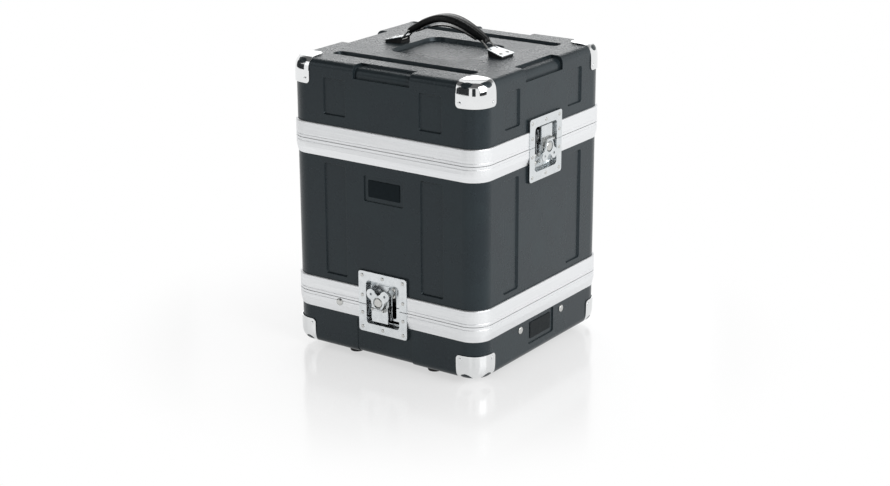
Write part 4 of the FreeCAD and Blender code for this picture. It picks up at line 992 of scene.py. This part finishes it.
@dataclass
class CarryHandle:
    """Arched leathercloth grip and strap on two wire rings, with its end plates on the lid."""

    palette: Palette
    lid_top: float = LID_FACE
    eye_x: float = 77.0
    eye_z: float = 24.0
    apex: float = 60.0
    width: float = 27.0
    end_width: float = 15.6
    thick: float = 13.5
    end_thick: float = 11.5
    strap_width: float = 18.0
    strap_thick: float = 2.5
    strap_gap: float = 4.5      # under the middle of the grip
    strap_share: float = 0.86   # of the grip's half span
    strap_seat: float = 0.2
    strap_side_power: float = 0.3   # powers below one square a section, at its sides or faces
    strap_face_power: float = 0.5
    bead: float = 0.18          # height of the strap's beaded edges as a share of its thickness
    bead_at: float = 0.8        # their distance from the middle as a share of the half width
    bead_width: float = 0.14
    side_power: float = 0.62
    under_power: float = 0.34   # of the flatter underside
    stations: int = 72
    around: int = 56
    end_rings: int = 3
    end_weld: float = 0.02
    welt: float = 1.0           # height of the sewn ridge along each side of the top
    welt_share: float = 0.5     # of that height above the plain skin
    groove_share: float = 0.6   # and of the stitched groove below it
    welt_at: float = 0.66       # its distance from the middle as a share of the half width
    welt_width: float = 0.13
    fill: float = 0.9
    arch_share: float = 1.15    # length along the arch for each length of its span
    stitch_reach: float = 0.96  # of the half span
    stitch_at: float = 0.50
    stitch_pitch: float = 5.0
    stitch_length: float = 3.4
    stitch_thick: float = 0.55
    plate_edge_mm: float = 0.4
    pad_edge_mm: float = 0.5

    def station(self, share: float) -> tuple[Vector, Vector, float, float]:
        """Centre, upward normal, half width and half thickness of the grip.

        Args:
            share: Place along the half span, from -1 to 1.

        Returns:
            Centre, normal, half width and half thickness in millimetres.
        """
        rise = self.apex - self.thick / 2.0 - self.eye_z
        angle = share * math.pi / 2.0
        centre = Vector((share * self.eye_x, 0.0, self.lid_top + self.eye_z + rise * math.cos(angle)))
        slope = math.atan(-rise * math.sin(angle) * math.pi / 2.0 / self.eye_x)
        blend = 1.0 - share * share
        half_width = (self.end_width + (self.width - self.end_width) * blend) / 2.0
        half_thick = (self.end_thick + (self.thick - self.end_thick) * blend) / 2.0
        return centre, Vector((-math.sin(slope), 0.0, math.cos(slope))), half_width, half_thick

    def surface(self, share: float, angle: float) -> Vector:
        """Point on the grip's skin.

        Args:
            share: Place along the half span, from -1 to 1.
            angle: Direction round the section, from the side over the top.

        Returns:
            The point in millimetres.
        """
        centre, normal, half_width, half_thick = self.station(share)
        across = signed_power(math.cos(angle), self.side_power)
        power = self.side_power if math.sin(angle) > 0.0 else self.under_power
        up = signed_power(math.sin(angle), power)
        if up > 0.0:
            ridge = self.welt_share * bell(abs(across) - self.welt_at, self.welt_width)
            groove = self.groove_share * bell(abs(across) - self.stitch_at, self.welt_width)
            up = min(up + (ridge - groove) * self.welt / half_thick, 1.0)
        return centre + normal * (up * half_thick) + Vector((0.0, across * half_width, 0.0))

    def strap_surface(self, share: float, angle: float) -> Vector:
        """Point on the strap's skin.

        Args:
            share: Place along the grip's half span.
            angle: Direction round the section, from the side over the top.

        Returns:
            The point in millimetres.
        """
        centre, normal, _, half_thick = self.station(share)
        gap = self.strap_gap * (1.0 - (share / self.strap_share) ** 2)
        below = half_thick + self.strap_thick / 2.0 + self.strap_seat + gap
        across = signed_power(math.cos(angle), self.strap_side_power)
        up = signed_power(math.sin(angle), self.strap_face_power)
        up *= 1.0 - self.bead + self.bead * bell(abs(across) - self.bead_at, self.bead_width)
        lift = up * self.strap_thick / 2.0 - below
        return centre + normal * lift + Vector((0.0, across * self.strap_width / 2.0, 0.0))

    def tube(
        self, made: BMesh, reach: float, surface: Callable[[float, float], Vector],
    ) -> list[list[BMVert]]:
        """Skin a form that follows the grip's arch.

        Args:
            made: Mesh data that takes the skin.
            reach: Share of the half span at which both ends stop.
            surface: Gives the point at a share and a direction round the section.

        Returns:
            The loops of vertices from the left end to the right end.
        """
        loops = []
        for index in range(self.stations + 1):
            share = reach * (-1.0 + 2.0 * index / self.stations)
            turns = [2.0 * math.pi * step / self.around for step in range(self.around)]
            loops.append([made.verts.new(surface(share, turn) * MM) for turn in turns])
        for first, second in zip(loops, loops[1:]):
            bridge(made, first, second)
        return loops

    def strap(self) -> Object:
        """Make the flat strap with beaded edges under the grip.

        Returns:
            The strap.
        """
        made = bmesh.new()
        loops = self.tube(made, self.strap_share, self.strap_surface)
        for loop in (loops[0], loops[-1]):
            made.faces.new(loop)
        obj = object_from("handle_strap_folded", made, self.palette.leathercloth)
        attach(obj, "handle")
        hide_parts("handle_strap")
        return obj

    def grip(self) -> Object:
        """Make the padded grip with its sewn ridges and rounded ends.

        Returns:
            The grip.
        """
        made = bmesh.new()
        loops = self.tube(made, 1.0, self.surface)
        for loop, side in ((loops[0], Side.LEFT), (loops[-1], Side.RIGHT)):
            centre, normal, _, half_thick = self.station(side.value)
            forward = Vector((normal.z, 0.0, -normal.x)) * side.value
            before = loop
            for part in range(1, self.end_rings + 1):
                turn = part / self.end_rings * math.pi / 2.0
                ring = []
                for vert in loop:
                    out = vert.co / MM - centre
                    lift = out.dot(normal)
                    flat = out - normal * lift
                    moved = centre + flat + normal * lift * math.cos(turn)
                    moved += forward * half_thick * math.sin(turn)
                    ring.append(made.verts.new(moved * MM))
                bridge(made, before, ring)
                before = ring
        bmesh.ops.remove_doubles(made, verts=made.verts, dist=self.end_weld * MM)
        obj = object_from("handle_grip_padded", made, self.palette.leathercloth)
        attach(obj, "handle")
        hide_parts("handle_grip")
        return obj

    def stitching(self) -> Object:
        """Make the two rows of stitches along the grip's top.

        Returns:
            The stitches as one object.
        """
        made = bmesh.new()
        count = int(2.0 * self.eye_x * self.arch_share / self.stitch_pitch)
        right = math.acos(self.stitch_at ** (1.0 / self.side_power))
        size = Matrix.Diagonal((self.stitch_length / 2.0, self.stitch_thick, self.stitch_thick, 1.0))
        for angle in (math.pi - right, right):
            for index in range(1, count):
                share = self.stitch_reach * (-1.0 + 2.0 * index / count)
                normal = self.station(share)[1]
                along = Vector((normal.z, 0.0, -normal.x))
                turn = Matrix((along, normal.cross(along), normal)).transposed().to_4x4()
                at = Matrix.Translation(self.surface(share, angle))
                place = Matrix.Scale(MM, 4) @ at @ turn @ size
                bmesh.ops.create_icosphere(made, subdivisions=1, radius=1.0, matrix=place)
        obj = object_from("handle_grip_stitches", made, self.palette.thread)
        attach(obj, "handle")
        return obj

    def build(self) -> None:
        """Make the grip, its strap and stitches, and the screws of its end plates."""
        for obj in (self.grip(), self.strap(), self.stitching()):
            LOG.info("built %s", obj.name)
        DomedHeads("bracket_screws", "lid", self.palette.nickel, crossed=True).build()

    def dress(self) -> None:
        """Give the rings and the end plates with their pads their finishes."""
        dress("handle_rings", self.palette.nickel)
        dress("handle_brackets", self.palette.zinc, self.plate_edge_mm)
        dress("bracket_pads", self.palette.rubber, self.pad_edge_mm)


@dataclass(frozen=True)
class SoftBox:
    """A square lamp, with its place and side in metres and its power in watts."""

    name: str
    place: tuple[float, float, float]
    side: float
    watts: float


@dataclass
class Studio:
    """Floor, soft lights and the camera of the picture."""

    azimuth: float = 34.77
    elevation: float = 18.27
    roll: float = -0.24
    place: tuple[float, float, float] = (1.8137, -2.6247, 1.2220)
    focal_px: float = 1876.4
    image_width_px: float = 890.0
    sensor_mm: float = 36.0
    floor_half: float = 14.0
    floor_colour: str = "#f2f2f2"
    white_near: float = 0.60    # share of plain white in what eyes and mirrors see by the case
    white_from: float = 0.28    # distance in metres at which that share starts to rise
    white_full: float = 0.66    # distance at which the floor is plain white
    room_strength: float = 0.45
    ceiling_from: float = 0.35  # sine of the height at which mirrors start to see a grey ceiling
    ceiling_full: float = 0.65
    ceiling_strength: float = 0.14
    ground: str = "#ffffff"
    felt: str = "#383b3e"
    screen_radius: float = 3.6
    screen_height: float = 2.3
    # Bearing in degrees and width in metres of each screen
    screens_at: tuple[tuple[float, float], ...] = ((-66.0, 2.9), (-13.0, 2.3), (30.0, 1.3), (86.0, 2.9))
    lamps: tuple[SoftBox, ...] = (
        SoftBox("key_box", (2.7, -0.1, 1.6), 2.3, 64.0),
        SoftBox("rim_box", (-1.5, 2.2, 1.45), 1.8, 10.0),
        SoftBox("top_box", (-0.6, 1.0, 2.8), 2.0, 11.0),
        SoftBox("fill_box", (-2.2, -2.0, 1.6), 1.4, 4.0),
    )

    def camera(self) -> None:
        """Set the camera at the photograph's place."""
        turn_round, tip = math.radians(self.azimuth), math.radians(self.elevation)
        back = Vector((
            math.sin(turn_round) * math.cos(tip), -math.cos(turn_round) * math.cos(tip), math.sin(tip),
        ))
        right = Vector((math.cos(turn_round), math.sin(turn_round), 0.0))
        up = back.cross(right)
        lean = math.radians(self.roll)
        tilted = right * math.cos(lean) + up * math.sin(lean)
        upright = up * math.cos(lean) - right * math.sin(lean)
        data = bpy.data.cameras.new("studio_camera")
        data.sensor_width = self.sensor_mm
        data.lens = self.focal_px / self.image_width_px * self.sensor_mm
        data.clip_end = 100.0
        obj = bpy.data.objects.new("studio_camera", data)
        turn = Matrix((tilted, upright, back)).transposed().to_4x4()
        obj.matrix_world = Matrix.Translation(self.place) @ turn
        bpy.context.scene.collection.objects.link(obj)
        bpy.context.scene.camera = obj

    def seen_directly(self, tree: NodeTree) -> NodeSocket:
        """Share of a ray that an eye, a mirror or a glass follows.

        Args:
            tree: Node tree that takes the nodes.

        Returns:
            A socket that is one for such rays.
        """
        path = add_node(tree, "LightPath").outputs
        seen = path["Is Camera Ray"]
        for kind in ("Is Glossy Ray", "Is Transmission Ray"):
            either = add_node(tree, "Math", {"operation": "MAXIMUM"}, {0: seen, 1: path[kind]})
            seen = either.outputs["Value"]
        return seen

    def floor(self) -> None:
        """Lay a plain pale floor that keeps the shadow and a faint reflection."""
        made = bmesh.new()
        bmesh.ops.create_grid(made, x_segments=1, y_segments=1, size=self.floor_half)
        material, tree, shader = blank_material("acrylic_sheet_white_polished")
        set_inputs(tree, shader, {
            "Base Color": linear(self.floor_colour), "Roughness": 0.16, "IOR": 1.49,
            "Coat Weight": 0.6, "Coat Roughness": 0.12,
        })
        white = add_node(tree, "Emission", {}, {"Color": linear(self.ground), "Strength": 1.0})
        place = add_node(tree, "TexCoord").outputs["Object"]
        away = add_node(tree, "VectorMath", {"operation": "LENGTH"}, {0: place})
        rise = add_node(tree, "MapRange", {"interpolation_type": "SMOOTHSTEP"}, {
            "Value": away.outputs["Value"], "From Min": self.white_from, "From Max": self.white_full,
            "To Min": self.white_near, "To Max": 1.0,
        })
        share = add_node(tree, "Math", {"operation": "MULTIPLY"}, {0: self.seen_directly(tree), 1: rise})
        blend = add_node(tree, "MixShader", {}, {0: share, 1: shader, 2: white})
        set_inputs(tree, tree.nodes["Material Output"], {"Surface": blend})
        object_from("studio_floor", made, material)

    def screens(self) -> None:
        """Stand grey felt screens round the camera's side, for plated pieces and edges to mirror."""
        material, tree, shader = blank_material("wool_felt_grey_pressed")
        set_inputs(tree, shader, {"Base Color": linear(self.felt), "Roughness": 0.95})
        made = bmesh.new()
        for bearing, width in self.screens_at:
            turn = Matrix.Rotation(math.radians(bearing), 4, "Z")
            foot = []
            for x in (-width / 2.0, width / 2.0):
                for z in (0.0, self.screen_height):
                    foot.append(made.verts.new(turn @ Vector((x, -self.screen_radius, z))))
            made.faces.new((foot[0], foot[1], foot[3], foot[2]))
        obj = object_from("studio_screens", made, material)
        obj.visible_camera = False

    def room(self) -> None:
        """Light the scene evenly from a room with white walls and a grey ceiling."""
        world = bpy.data.worlds.new("white_room")
        world.use_nodes = True
        bpy.context.scene.world = world
        tree = world.node_tree
        place = add_node(tree, "TexCoord").outputs["Generated"]
        ceiling = add_node(tree, "MapRange", {"interpolation_type": "SMOOTHSTEP"}, {
            "Value": add_node(tree, "SeparateXYZ", {}, {0: place}).outputs["Z"],
            "From Min": self.ceiling_from, "From Max": self.ceiling_full,
            "To Min": 1.0, "To Max": self.ceiling_strength,
        })
        strength = add_node(tree, "MapRange", {}, {
            "Value": self.seen_directly(tree), "To Min": self.room_strength, "To Max": ceiling,
        })
        set_inputs(tree, tree.nodes["Background"], {"Color": linear(self.ground), "Strength": strength})

    def lamp(self, box: SoftBox) -> None:
        """Hang a soft box that points at the middle of the case.

        Args:
            box: The lamp.
        """
        data = bpy.data.lights.new(box.name, "AREA")
        data.shape = "SQUARE"
        data.size = box.side
        data.energy = box.watts
        obj = bpy.data.objects.new(box.name, data)
        obj.location = box.place
        ray = MIDDLE - Vector(box.place)
        obj.rotation_euler = ray.to_track_quat("-Z", "Y").to_euler()
        bpy.context.scene.collection.objects.link(obj)

    def build(self) -> None:
        """Set up the whole studio."""
        self.camera()
        self.floor()
        self.screens()
        self.room()
        for box in self.lamps:
            self.lamp(box)
        bpy.context.scene.view_settings.view_transform = "Standard"
        LOG.info("set up the studio")


def main() -> None:
    """Load the frame, build every sub-assembly and set up the studio."""
    logging.basicConfig(level=logging.INFO, format="%(message)s")
    bpy.ops.wm.read_factory_settings(use_empty=True)
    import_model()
    palette = mix_palette()
    assemblies = [
        CaseShells(palette),
        BallCorners("base", Way.DOWN, BASE_FACE, palette),
        BallCorners("lid", Way.UP, LID_FACE, palette),
        TwistLatch(Latch.FRONT, "base", palette),
        TwistLatch(Latch.SIDE, "lid", palette),
        ButtHinges("rear", "base", "body", palette),
        ButtHinges("side", "body", "lid", palette),
        FoamLining(palette),
        CarryHandle(palette),
    ]
    for assembly in assemblies:
        assembly.build()
        assembly.dress()
    Studio().build()


if __name__ == "__main__":
    main()
